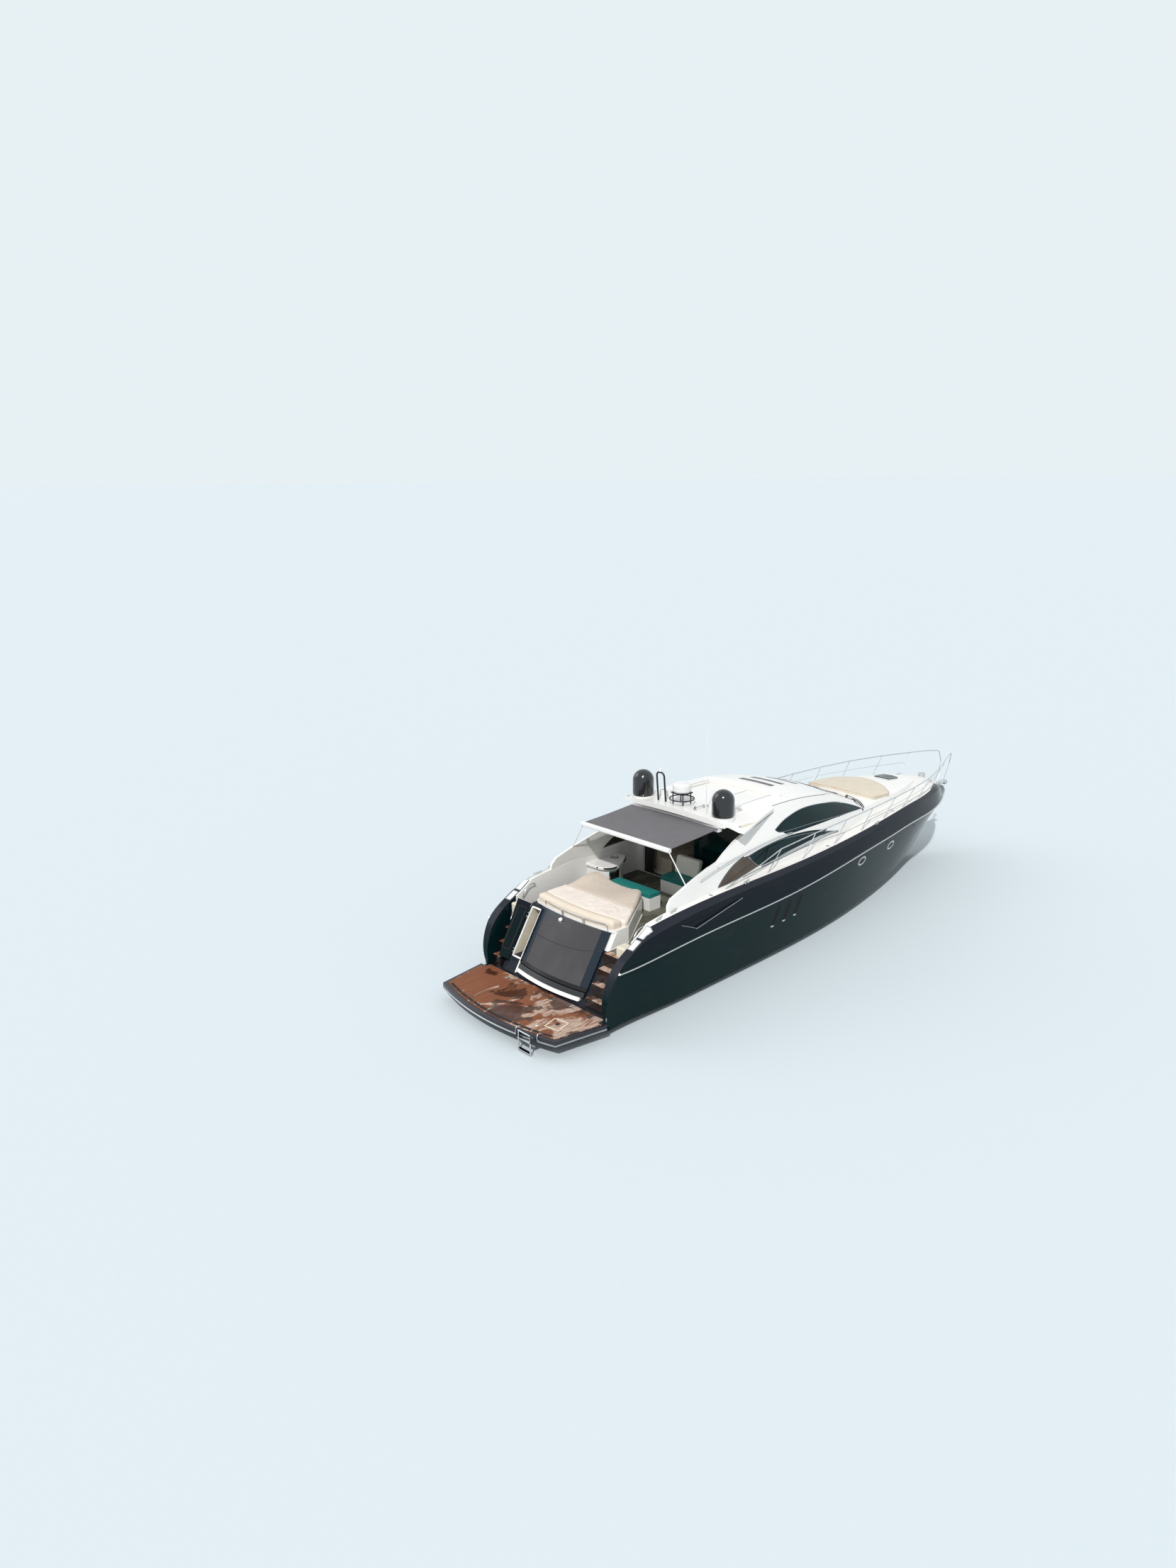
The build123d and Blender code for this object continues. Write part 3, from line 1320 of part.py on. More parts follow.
bracket_at, bracket_half, bracket_wall = 220, 90, 26
leg_long, leg_chord, leg_half = 700, 80, 14
with BuildPart() as shaft_brackets:
    for side in (1, -1):
        centre = Vector(prop_x, side * prop_y, prop_z) + shaft_dir * bracket_at
        add(shaft_line(side, bracket_at - bracket_half, bracket_at + bracket_half, shaft_r + bracket_wall))
        with BuildSketch(Plane(origin=centre, x_dir=(1, 0, 0), z_dir=(0, 0, 1))):
            Ellipse(leg_chord, leg_half)
        extrude(amount=leg_long)
    add(hull_form.part, mode=Mode.SUBTRACT)
    for side in (1, -1):
        add(
            shaft_line(side, bracket_at - 2 * bracket_half, bracket_at + 2 * bracket_half, shaft_r + shaft_clear),
            mode=Mode.SUBTRACT,
        )
finish(shaft_brackets.part, "shaft_brackets")

# Swim ladder, hanging down into the water
ladder_foot = -520
tread_count, tread_first, tread_pitch, tread_half, tread_thick = 4, 40, 270, 38, 24
with BuildPart() as swim_ladder:
    add(
        bar_along(
            [
                (ladder_x, ladder_y - ladder_half - lug_out, ladder_pivot_z),
                (ladder_x, ladder_y + ladder_half + lug_out, ladder_pivot_z),
            ],
            rail_r,
        )
    )
    for side in (-1, 1):
        y = ladder_y + side * ladder_half
        add(bar_along([(ladder_x, y, ladder_pivot_z), (ladder_x, y, ladder_foot)], rail_r))
    for tread in range(tread_count):
        z = ladder_foot + tread_first + tread * tread_pitch
        add(
            block(
                (ladder_x - tread_half, ladder_y - ladder_half, z),
                (ladder_x + tread_half, ladder_y + ladder_half, z + tread_thick),
            )
        )
finish(swim_ladder.part, "swim_ladder")
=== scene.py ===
import json
from math import copysign, cos, exp, pi, radians, sin, sqrt

import bmesh
import bpy
from mathutils import Matrix, Vector, noise
from mathutils.bvhtree import BVHTree
from mathutils.geometry import delaunay_2d_cdt


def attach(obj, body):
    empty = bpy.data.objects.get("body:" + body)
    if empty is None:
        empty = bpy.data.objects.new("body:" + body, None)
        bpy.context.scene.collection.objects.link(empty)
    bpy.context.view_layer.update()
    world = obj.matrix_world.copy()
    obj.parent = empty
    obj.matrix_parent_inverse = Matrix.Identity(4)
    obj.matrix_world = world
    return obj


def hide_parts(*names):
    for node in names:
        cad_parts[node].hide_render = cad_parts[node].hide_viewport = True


# A motor yacht afloat. Metres: +X is the bow, +Y is port, +Z is up, and z 0 is the waterline.

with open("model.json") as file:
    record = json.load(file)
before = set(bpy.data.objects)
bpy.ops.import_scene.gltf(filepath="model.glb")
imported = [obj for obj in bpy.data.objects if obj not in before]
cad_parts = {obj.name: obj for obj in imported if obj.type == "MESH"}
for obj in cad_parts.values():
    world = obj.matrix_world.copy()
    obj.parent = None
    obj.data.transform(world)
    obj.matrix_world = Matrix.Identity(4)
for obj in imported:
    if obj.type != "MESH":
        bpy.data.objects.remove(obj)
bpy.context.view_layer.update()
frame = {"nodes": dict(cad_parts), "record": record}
scene = bpy.context.scene
nodes = frame["nodes"]


# Camera, at the photograph's place
def make_camera():
    image_wide, image_high = 1659, 2212
    focal_pixels = 1555.4
    sensor = 36
    heading, pitch, roll = -43.174, 15.655, -0.4705
    data = bpy.data.cameras.new("camera")
    data.sensor_width = sensor
    data.lens = sensor * focal_pixels / max(image_wide, image_high)
    data.clip_start, data.clip_end = 0.1, 5000
    camera = bpy.data.objects.new("camera", data)
    camera.location = (-24.05, -18.26, 12.285)
    turn = (
        Matrix.Rotation(radians(heading), 3, "Z")
        @ Matrix.Rotation(pi / 2 - radians(pitch), 3, "X")
        @ Matrix.Rotation(radians(roll), 3, "Z")
    )
    camera.rotation_euler = turn.to_euler()
    scene.collection.objects.link(camera)
    scene.camera = camera


make_camera()


# Materials
def shade(colour, share):
    return tuple(c * share for c in colour)


class Shader:
    """one node material, built up in small steps on the object's own coordinates"""

    def __init__(self, name, colour, rough, metal=0.0, coat=0.0, coat_rough=0.05, specular=0.5):
        self.material = bpy.data.materials.new(name)
        self.material.use_nodes = True
        self.nodes, self.links = self.material.node_tree.nodes, self.material.node_tree.links
        self.main = self.nodes["Principled BSDF"]
        self.colour, self.bump = (*colour, 1), None
        self.feed(self.main, {
            "Base Color": self.colour, "Roughness": rough, "Metallic": metal, "Coat Weight": coat,
            "Coat Roughness": coat_rough, "Specular IOR Level": specular,
        })
        self.place = self.nodes.new("ShaderNodeTexCoord").outputs["Object"]

    def feed(self, node, sockets):
        """sets a node's sockets to values, or links them to other nodes' outputs"""
        for key, value in sockets.items():
            if isinstance(value, bpy.types.NodeSocket):
                self.links.new(value, node.inputs[key])
            else:
                node.inputs[key].default_value = value

    def add(self, kind, sockets, **settings):
        node = self.nodes.new(kind)
        for key, value in settings.items():
            setattr(node, key, value)
        self.feed(node, sockets)
        return node

    def noise(self, scale, detail=3.0, stretch=(1, 1, 1), distortion=0.0):
        place = self.add("ShaderNodeMapping", {"Scale": stretch, "Vector": self.place}).outputs["Vector"]
        sockets = {"Scale": scale, "Detail": detail, "Distortion": distortion, "Vector": place}
        return self.add("ShaderNodeTexNoise", sockets).outputs["Fac"]

    def ramp(self, value, low, high):
        """0 below low and 1 above high"""
        sockets = {"From Min": low, "From Max": high, "Value": value}
        return self.add("ShaderNodeMapRange", sockets).outputs["Result"]

    def math(self, operation, *values):
        return self.add("ShaderNodeMath", dict(enumerate(values)), operation=operation).outputs[0]

    def times(self, a, b):
        return self.math("MULTIPLY", a, b)

    def invert(self, value):
        return self.math("SUBTRACT", 1.0, value)

    def axis(self, name, source=None):
        return self.add("ShaderNodeSeparateXYZ", {0: source or self.place}).outputs[name]

    def facing_up(self):
        return self.axis("Z", self.nodes.new("ShaderNodeNewGeometry").outputs["Normal"])

    def wave(self, scale, direction):
        sockets = {"Scale": scale / 6.3, "Vector": self.place}
        return self.add("ShaderNodeTexWave", sockets, bands_direction=direction).outputs["Fac"]

    def blend(self, colour, share):
        """mixes another colour over what is there"""
        sockets = {"A": self.colour, "B": (*colour, 1), "Factor": share}
        self.colour = self.add("ShaderNodeMix", sockets, data_type="RGBA").outputs["Result"]
        self.links.new(self.colour, self.main.inputs["Base Color"])

    def stain(self, colour, share, low, high, *grain):
        """blends another colour in soft patches of noise"""
        self.blend(colour, self.times(self.ramp(self.noise(*grain), low, high), share))

    def roughness(self, value, low, high):
        node = self.add("ShaderNodeMapRange", {"To Min": low, "To Max": high, "Value": value})
        self.links.new(node.outputs["Result"], self.main.inputs["Roughness"])

    def raise_by(self, height, distance):
        sockets = {"Height": height, "Distance": distance, "Strength": 1.0}
        if self.bump is not None:
            sockets["Normal"] = self.bump
        self.bump = self.add("ShaderNodeBump", sockets).outputs["Normal"]
        self.links.new(self.bump, self.main.inputs["Normal"])


def hull_gelcoat():
    """near-black gelcoat: a painted sea-green reflection of the water low down, a painted navy sheen where it
    faces up, salt at the waterline
    """
    s = Shader("hull_gelcoat", (0.006, 0.010, 0.015), 0.14, specular=0.08)
    height = s.axis("Z")
    # painted reflection: the water's sea-green tint on the sides below about 1.55 to 1.95 m
    s.blend((0.0010, 0.0125, 0.0140), s.invert(s.ramp(height, 1.55, 1.95)))
    # painted sheen: a lighter navy on faces that look up, as the sky would light them
    s.blend((0.022, 0.024, 0.032), s.ramp(s.facing_up(), 0.12, 0.6))
    s.stain((0.05, 0.06, 0.06), 0.12, 0.55, 0.85, 1.1, 6, (1, 1, 3))
    salt = s.times(s.ramp(s.noise(6, 6, (1, 1, 5)), 0.5, 0.75), s.invert(s.ramp(height, 0.03, 0.25)))
    s.blend((0.10, 0.12, 0.11), s.times(salt, 0.5))
    s.roughness(s.noise(2.2, 5, (1, 1, 2)), 0.08, 0.20)
    s.raise_by(s.noise(0.9, 2), 0.004)
    return s.material


def white_gelcoat():
    s = Shader("white_gelcoat", (0.80, 0.785, 0.75), 0.3, coat=0.25, coat_rough=0.1)
    s.stain((0.68, 0.65, 0.59), 0.35, 0.5, 0.8, 0.8, 6)
    s.stain((0.52, 0.48, 0.41), 0.25, 0.62, 0.85, 7, 8, (1, 1, 0.25))
    s.raise_by(s.noise(3, 3), 0.002)
    s.roughness(s.noise(3.0, 4), 0.22, 0.42)
    return s.material


def deck_gelcoat():
    """non-slip white: the same moulding with a fine raised grain on what faces up"""
    s = Shader("deck_gelcoat", (0.78, 0.76, 0.72), 0.45)
    s.stain((0.64, 0.61, 0.55), 0.4, 0.5, 0.8, 1.6, 7)
    s.raise_by(s.times(s.noise(160, 1), s.ramp(s.facing_up(), 0.7, 0.9)), 0.0015)
    s.roughness(s.noise(5.0, 4), 0.4, 0.6)
    return s.material


def charcoal_gelcoat():
    s = Shader("charcoal_gelcoat", (0.040, 0.037, 0.040), 0.42, specular=0.4)
    s.stain((0.075, 0.068, 0.07), 0.5, 0.4, 0.8, 2.0, 6, (1, 1, 0.4))
    s.stain((0.12, 0.11, 0.10), 0.15, 0.68, 0.8, 30, 3)
    s.roughness(s.noise(4.0, 4), 0.34, 0.5)
    return s.material


def transom_gelcoat():
    """satin charcoal face, glossy navy margins and top corner, black foot"""
    s = Shader("transom_gelcoat", (0.040, 0.037, 0.040), 0.40, specular=0.4)
    s.stain((0.075, 0.068, 0.072), 0.6, 0.4, 0.8, 1.6, 6, (1, 1, 0.5))
    across, height = s.axis("Y"), s.axis("Z")
    margin = s.ramp(s.math("ABSOLUTE", across), 0.975, 0.98)
    corner = s.times(s.ramp(across, 0.55, 0.57), s.ramp(height, 1.72, 1.95))
    foot = s.invert(s.ramp(height, 0.80, 0.81))
    navy = s.math("MAXIMUM", margin, corner)
    s.blend((0.006, 0.014, 0.024), navy)
    s.blend((0.004, 0.004, 0.005), foot)
    s.roughness(s.invert(s.math("MAXIMUM", navy, foot)), 0.14, 0.42)
    return s.material


def plain(name, colour, rough, metal=0.0, coat=0.0, grain=40, depth=0.0005):
    """one colour with faint darker patches and a fine grain"""
    s = Shader(name, colour, rough, metal, coat)
    s.stain(shade(colour, 0.8), 0.48, 0.4, 0.7, grain / 10, 5)
    s.raise_by(s.noise(grain, 4), depth)
    s.roughness(s.noise(grain / 4, 4), max(0.02, rough - 0.06), min(1, rough + 0.08))
    return s.material


def cloth(name, colour, dark, thread, depth, patch, crease=0.0):
    """woven fabric: crossed threads, soft darker patches and, if asked, fine creases with painted shade along the
    folds
    """
    s = Shader(name, colour, 0.88, specular=0.2)
    s.feed(s.main, {"Sheen Weight": 0.25, "Sheen Roughness": 0.5})
    s.stain(dark, 0.6, 0.38, 0.75, patch, 6)
    s.raise_by(s.times(s.wave(thread, "X"), s.wave(thread, "Y")), depth)
    if crease:
        folds = (9, 5, (1, 0.35, 1), 1.4)
        s.raise_by(s.noise(*folds), crease)
        # painted shade: the same noise that raises the folds darkens the cloth along them
        s.stain(shade(dark, 0.8), 0.35, 0.6, 0.8, *folds)
    s.roughness(s.noise(50, 3), 0.8, 0.95)
    return s.material


def vinyl(name, colour, dark):
    """marine vinyl with a small leather grain"""
    s = Shader(name, colour, 0.5, specular=0.35)
    s.stain(dark, 0.5, 0.4, 0.75, 2.5, 6)
    s.raise_by(s.noise(260, 3), 0.0006)
    s.roughness(s.noise(12, 4), 0.42, 0.6)
    return s.material


def planks(name, colour, dry, wet, caulk, pitch, dry_from, soak):
    """laid planks along the boat with caulked seams, sun-bleached patches and glossy wet ones"""
    s = Shader(name, colour, 0.6, specular=0.4)
    across = s.axis("Y")
    board = s.math("FLOOR", s.math("DIVIDE", across, pitch))
    tone = s.add("ShaderNodeTexWhiteNoise", {"W": board}, noise_dimensions="1D").outputs["Value"]
    s.blend(shade(colour, 0.55), s.times(tone, 0.55))
    grain = s.noise(14, 8, (0.35, 6, 1), 0.6)
    s.blend(shade(colour, 0.5), s.times(s.ramp(grain, 0.45, 0.7), 0.5))
    sunny_side = s.times(s.ramp(s.times(across, -1.0), -dry_from, 2.2), 0.26)
    bleach = s.math("ADD", s.noise(1.5, 6, (1, 1.6, 1), 0.8), sunny_side)
    pale = s.times(s.ramp(bleach, 0.60, 0.68), s.ramp(s.noise(9, 8, (0.3, 5, 1)), 0.36, 0.56))
    s.blend(dry, s.times(pale, 0.85))
    soaked = s.ramp(s.noise(1.1, 5, (1.1, 1, 1), 0.5), soak, soak + 0.03)
    s.blend(wet, s.times(soaked, 0.85))
    seam = s.math("LESS_THAN", s.math("PINGPONG", across, pitch / 2), 0.0028)
    s.blend(caulk, seam)
    s.roughness(s.invert(soaked), 0.22, 0.7)
    s.raise_by(s.times(seam, -1.0), 0.0015)
    s.raise_by(grain, 0.0006)
    return s.material


def dark_glass(name, colour, rough, specular):
    s = Shader(name, colour, rough, specular=specular)
    s.blend(shade(colour, 0.45), s.ramp(s.noise(0.7, 2), 0.35, 0.65))
    s.raise_by(s.noise(1.2, 1), 0.001)
    return s.material


# Each look is a material and the record's slot that it belongs to
looks = {
    "hull_gelcoat": (hull_gelcoat(), "hull_gelcoat"),
    "white_gelcoat": (white_gelcoat(), "white_gelcoat"),
    "deck": (deck_gelcoat(), "white_gelcoat"),
    "charcoal_gelcoat": (charcoal_gelcoat(), "charcoal_gelcoat"),
    "transom": (transom_gelcoat(), "charcoal_gelcoat"),
}
# Plain finishes: name, slot, colour, roughness, other settings
for name, slot, colour, rough, more in (
    ("stainless", "stainless", (0.66, 0.66, 0.66), 0.16, {"metal": 1.0, "depth": 0.0001}),
    ("strip", "stainless", (0.50, 0.51, 0.52), 0.28, {"metal": 0.9}),
    ("bronze", "bronze", (0.42, 0.26, 0.11), 0.35, {"metal": 1.0}),
    ("antifouling", "antifouling", (0.03, 0.04, 0.05), 0.7, {}),
    ("platform", "charcoal_gelcoat", (0.014, 0.014, 0.021), 0.28, {"grain": 20}),
    ("black_gloss", "black_gloss", (0.006, 0.006, 0.007), 0.12, {"coat": 0.6, "depth": 0.0001}),
    ("white_plastic", "white_plastic", (0.78, 0.77, 0.75), 0.4, {}),
    ("light", "white_plastic", (0.85, 0.86, 0.85), 0.12, {"coat": 0.8}),
    ("engine_paint", "engine_paint", (0.5, 0.5, 0.5), 0.4, {}),
    ("dark_trim", "dark_trim", (0.014, 0.014, 0.016), 0.4, {}),
    ("rubber", "dark_trim", (0.012, 0.012, 0.013), 0.75, {"grain": 90}),
    ("frame_grey", "dark_trim", (0.13, 0.15, 0.18), 0.35, {}),
    ("frame_brown", "dark_trim", (0.12, 0.10, 0.09), 0.4, {}),
    ("slot_grey", "dark_trim", (0.13, 0.12, 0.125), 0.5, {}),
    ("cream", "white_gelcoat", (0.72, 0.66, 0.52), 0.4, {}),
    ("cream_dark", "linen", (0.42, 0.37, 0.30), 0.55, {}),
    ("teal_dark", "teal_vinyl", (0.006, 0.09, 0.085), 0.5, {}),
):
    looks[name] = (plain(name, colour, rough, **more), slot)
# Other finishes: name, slot, kind of material, its colours and settings
for name, slot, kind, *settings in (
    ("dark_glass", "dark_glass", dark_glass, (0.002, 0.020, 0.022), 0.03, 0.16),
    ("port_glass", "dark_glass", dark_glass, (0.001, 0.001, 0.0015), 0.1, 0.08),
    ("smoked_glass", "smoked_glass", dark_glass, (0.085, 0.065, 0.045), 0.06, 0.3),
    ("linen", "linen", cloth, (0.60, 0.51, 0.42), (0.50, 0.41, 0.33), 900, 0.0005, 1.2, 0.012),
    ("linen_pale", "linen", cloth, (0.80, 0.71, 0.63), (0.70, 0.60, 0.51), 900, 0.0005, 1.4, 0.014),
    ("awning_cloth", "awning_cloth", cloth, (0.105, 0.098, 0.105), (0.08, 0.075, 0.08), 700, 0.0006, 3.0),
    ("bolster", "linen", vinyl, (0.68, 0.59, 0.48), (0.60, 0.50, 0.40)),
    ("cream_vinyl", "linen", vinyl, (0.74, 0.71, 0.64), (0.66, 0.61, 0.53)),
    ("pad_vinyl", "pad_vinyl", vinyl, (0.64, 0.565, 0.45), (0.54, 0.46, 0.36)),
    ("teal_vinyl", "teal_vinyl", vinyl, (0.012, 0.20, 0.18), (0.008, 0.12, 0.11)),
    ("teak", "teak", planks, (0.26, 0.085, 0.032), (0.66, 0.52, 0.42), (0.05, 0.016, 0.008),
     (0.006, 0.005, 0.004), 0.062, 1.0, 0.56),
    ("sole", "teak", planks, (0.115, 0.115, 0.08), (0.22, 0.21, 0.16), (0.05, 0.05, 0.035),
     (0.01, 0.01, 0.01), 0.055, 6.0, 0.7),
):
    looks[name] = (kind(name, *settings), slot)


def dress_nodes():
    node_looks = {"deck": "deck", "transom_panel": "transom", "swim_platform": "platform"}
    slot_of = {part["node"]: part["material_slot"] for part in frame["record"]["subparts"]}
    for name, node in nodes.items():
        node.data.materials.clear()
        node.data.materials.append(looks[node_looks.get(name, slot_of[name])][0])


dress_nodes()


# Geometry tools
UP, DOWN, AHEAD = Vector((0, 0, 1)), Vector((0, 0, -1)), Vector((1, 0, 0))
SIDES = (1, -1)


def tree_of(*names):
    """the named nodes' surfaces, for projecting onto"""
    verts, faces = [], []
    for name in names:
        mesh = nodes[name].data
        start = len(verts)
        verts += [v.co.copy() for v in mesh.vertices]
        faces += [[start + i for i in p.vertices] for p in mesh.polygons]
    return BVHTree.FromPolygons(verts, faces)


def spread(low, high, count):
    """evenly spaced values, both ends among them"""
    return [low + (high - low) * k / count for k in range(count + 1)]


def ellipse(middle, out, up, count):
    """points round an ellipse, from its middle and its two half axes"""
    turn = [2 * pi * k / count for k in range(count)]
    return [Vector(middle) + Vector(out) * cos(a) + Vector(up) * sin(a) for a in turn]


def smooth(points, steps=8):
    """a rounded line through points"""
    points = [Vector(p) for p in points]
    last = len(points) - 1
    line = []
    for i in range(last):
        p0, p1, p2, p3 = points[max(i - 1, 0)], points[i], points[i + 1], points[min(i + 2, last)]
        for k in range(steps):
            t = k / steps
            bend = (2 * p0 - 5 * p1 + 4 * p2 - p3) * t * t + (3 * p1 - p0 - 3 * p2 + p3) * t ** 3
            line.append(0.5 * (2 * p1 + (p2 - p0) * t + bend))
    return line + [points[-1]]


def straight(points, step=0.1, closed=False):
    """points along straight runs"""
    points = [Vector(p) for p in points]
    if closed:
        points.append(points[0])
    line = []
    for p, q in zip(points, points[1:]):
        count = max(1, round((q - p).length / step))
        line += [p.lerp(q, k / count) for k in range(count)]
    return line if closed else line + [points[-1]]


def cast(tree, points, aim, reach=0.7):
    """drops points along a direction onto a surface: places, and the surface's outward normals"""
    aim = Vector(aim).normalized()
    spots, ups = [], []
    for point in points:
        place, normal, *_ = tree.ray_cast(Vector(point) - aim * reach, aim, 2 * reach)
        if place is None:
            place, normal, *_ = tree.find_nearest(Vector(point))
        spots.append(place)
        ups.append(-normal if normal.dot(aim) > 0 else normal)
    return spots, ups


def bead(wide, high, sink=0.006):
    """section of a trim strip: flat underneath and crowned on top"""
    half = wide / 2
    shoulder, crown = half * 0.6, high * 0.5
    return [(-half, -sink), (-half, crown), (-shoulder, high), (shoulder, high), (half, crown), (half, -sink)]


def flat(wide, high):
    """section of a flat bar, from half its width and height"""
    return [(-wide, -high), (wide, -high), (wide, high), (-wide, high)]


class Form:
    """collects one piece's mesh from swept, turned and projected parts"""

    def __init__(self):
        self.verts, self.faces = [], []

    def add(self, verts, faces):
        start = len(self.verts)
        self.verts += [Vector(v) for v in verts]
        self.faces += [tuple(start + i for i in face) for face in faces]
        return self

    def skin(self, rings, closed=False, top=True):
        """joins rings of points; a run that isn't closed gets its end caps"""
        count, last = len(rings[0]), len(rings) - 1
        faces = []
        for i in range(len(rings) if closed else last):
            low, high = i * count, (i + 1) % len(rings) * count
            for j in range(count):
                k = (j + 1) % count
                faces.append((low + j, low + k, high + k, high + j))
        if not closed:
            faces.append(range(count - 1, -1, -1))
            if top:
                faces.append(range(last * count, last * count + count))
        return self.add([p for points in rings for p in points], faces)

    def sweep(self, path, section, ups=None, closed=False):
        """carries a section along a path, upright by one direction or by one for each point"""
        path = [Vector(p) for p in path]
        rings, up = [], None
        for i, point in enumerate(path):
            ahead = path[(i + 1) % len(path)] if closed or i + 1 < len(path) else point
            behind = path[i - 1] if closed or i else point
            along = (ahead - behind).normalized()
            if ups is not None:
                up = ups if isinstance(ups, Vector) else ups[i]
            elif up is None:
                up = along.orthogonal()
            up = (up - along * up.dot(along)).normalized()
            side = along.cross(up)
            rings.append([point + side * u + up * v for u, v in section])
        return self.skin(rings, closed)

    def tube(self, path, radius, closed=False, sides=10):
        section = ellipse((0, 0), (radius, 0), (0, radius), sides)
        return self.sweep(path, section, closed=closed)

    def trim(self, tree, points, aim, wide, high, closed=False, sink=0.006, lift=0.0):
        spots, ups = cast(tree, points, aim)
        return self.sweep([p + up * lift for p, up in zip(spots, ups)], bead(wide, high, sink), ups, closed)

    def plate(self, outline, up, thick):
        outline = [Vector(p) for p in outline]
        return self.skin([outline, [p + Vector(up) * thick for p in outline]])

    def box(self, low, high):
        (x0, y0, z0), (x1, y1, z1) = low, high
        return self.plate([(x0, y0, z0), (x1, y0, z0), (x1, y1, z0), (x0, y1, z0)], UP, z1 - z0)

    def turn(self, profile, origin, axis=UP, sides=40):
        """turns a profile of radius and height about an axis"""
        axis = Vector(axis).normalized()
        out = axis.orthogonal().normalized()
        rings = []
        for away in ellipse((0, 0, 0), out, axis.cross(out), sides):
            rings.append([Vector(origin) + away * r + axis * h for r, h in profile])
        return self.skin(rings, closed=True)

    def patch(self, outline, tree, aim, lift, levels=6):
        """plate laid on a surface inside an outline, its rim turned down into it"""
        middle = sum(outline, Vector()) / len(outline)
        rings = []
        for level in range(levels + 1):
            inner = [p.lerp(middle, max(level - 1, 0) / levels) for p in outline]
            spots, ups = cast(tree, inner, aim)
            rise = lift if level else -0.01
            rings.append([p + up * rise for p, up in zip(spots, ups)])
        return self.skin(rings)

    def make(self, name, look, body="yacht", bevel=0.0, angle=38):
        mesh = bpy.data.meshes.new(name)
        build = bmesh.new()
        verts = [build.verts.new(v) for v in self.verts]
        for face in self.faces:
            build.faces.new([verts[i] for i in face])
        bmesh.ops.remove_doubles(build, verts=build.verts, dist=1e-5)
        bmesh.ops.dissolve_degenerate(build, edges=build.edges, dist=1e-5)
        bmesh.ops.recalc_face_normals(build, faces=build.faces)
        build.to_mesh(mesh)
        build.free()
        mesh.shade_smooth()
        mesh.set_sharp_from_angle(angle=radians(angle))
        obj = bpy.data.objects.new(name, mesh)
        scene.collection.objects.link(obj)
        if bevel:
            modifier = obj.modifiers.new("bevel", "BEVEL")
            modifier.width, modifier.segments, modifier.limit_method = bevel, 2, "ANGLE"
        material, slot = looks[look]
        mesh.materials.append(material)
        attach(obj, body)
        return obj


topsides = tree_of("hull")
shell = tree_of("hull", "deck")
cabin = tree_of("superstructure")
cabin_glass = tree_of("superstructure", "upper_windows", "lower_windows", "quarter_glass", "windscreen")
rooftop = tree_of("superstructure", "sunroof_panel", "roof_winglets")
transom = tree_of("transom_panel")
bar_tree = tree_of("wet_bar")


def on_side(points, side):
    """a line drawn for port, on the side asked for"""
    return [(x, side * y, z) for x, y, z in points]


# Hull
def hull_ports():
    """three slit windows and two oval ports a side, with gaskets and steel rims"""
    panes, gaskets, rims = Form(), Form(), Form()
    slits = (((-2.56, 1.03), (-2.38, 1.63)), ((-2.07, 1.05), (-1.92, 1.645)), ((-1.59, 1.07), (-1.44, 1.66)))
    for side in SIDES:
        aim = (0, -side, 0)
        for (x0, z0), (x1, z1) in slits:
            up = Vector((x1 - x0, 0, z1 - z0)) / 2
            across = Vector((up.z, 0, -up.x)).normalized() * 0.085
            middle = Vector(((x0 + x1) / 2, side * 2.2, (z0 + z1) / 2))
            outline, foot = [], []
            for k in range(40):
                c, s = cos(2 * pi * k / 40), sin(2 * pi * k / 40)
                along, beside = copysign(abs(c) ** 0.45, c), copysign(abs(s) ** 0.7, s)
                outline.append(middle + up * along + across * beside)
                if c < -0.80:
                    foot.append(outline[-1])
            panes.patch(outline, topsides, aim, 0.004)
            gaskets.trim(topsides, outline, aim, 0.012, 0.007, closed=True)
            rims.trim(topsides, foot, aim, 0.045, 0.012)
        for x, z in ((1.66, 1.74), (3.60, 1.68)):
            outline = ellipse((x, side * 1.9, z), (0.20, 0, 0), (0, 0, 0.11), 40)
            panes.patch(outline, topsides, aim, 0.004)
            rims.trim(topsides, outline, aim, 0.05, 0.012, closed=True)
    panes.make("hull_ports", "port_glass")
    gaskets.make("port_gaskets", "rubber")
    rims.make("port_rims", "stainless")


def hull_trim():
    """silver lines on the sides, and framed caps on the stern quarters"""
    silver, caps, frames = Form(), Form(), Form()
    for side in SIDES:
        crease = on_side([(-6.12, 2.3, 2.135), (-5.64, 2.3, 1.93), (-3.92, 2.3, 2.225)], side)
        silver.trim(topsides, straight(crease, 0.08), (0, -side, 0), 0.014, 0.006)
        silver.tube(straight(on_side([(-8.452, 2.17, 0.78), (-8.458, 2.17, 0.46)], side)), 0.014)
        y0, y1 = side * 2.085, side * 2.255
        for x0, z0, x1, z1 in ((-7.69, 1.955, -7.42, 2.10), (-7.36, 2.14, -7.06, 2.335)):
            outline = straight([(x0, y0, z0), (x1, y0, z1), (x1, y1, z1), (x0, y1, z0)], 0.06, True)
            caps.patch(outline, shell, DOWN, 0.012)
            frames.trim(shell, outline, DOWN, 0.028, 0.014, closed=True, lift=0.008)
    silver.make("hull_strips", "strip")
    caps.make("quarter_caps", "white_gelcoat")
    frames.make("quarter_cap_frames", "strip")


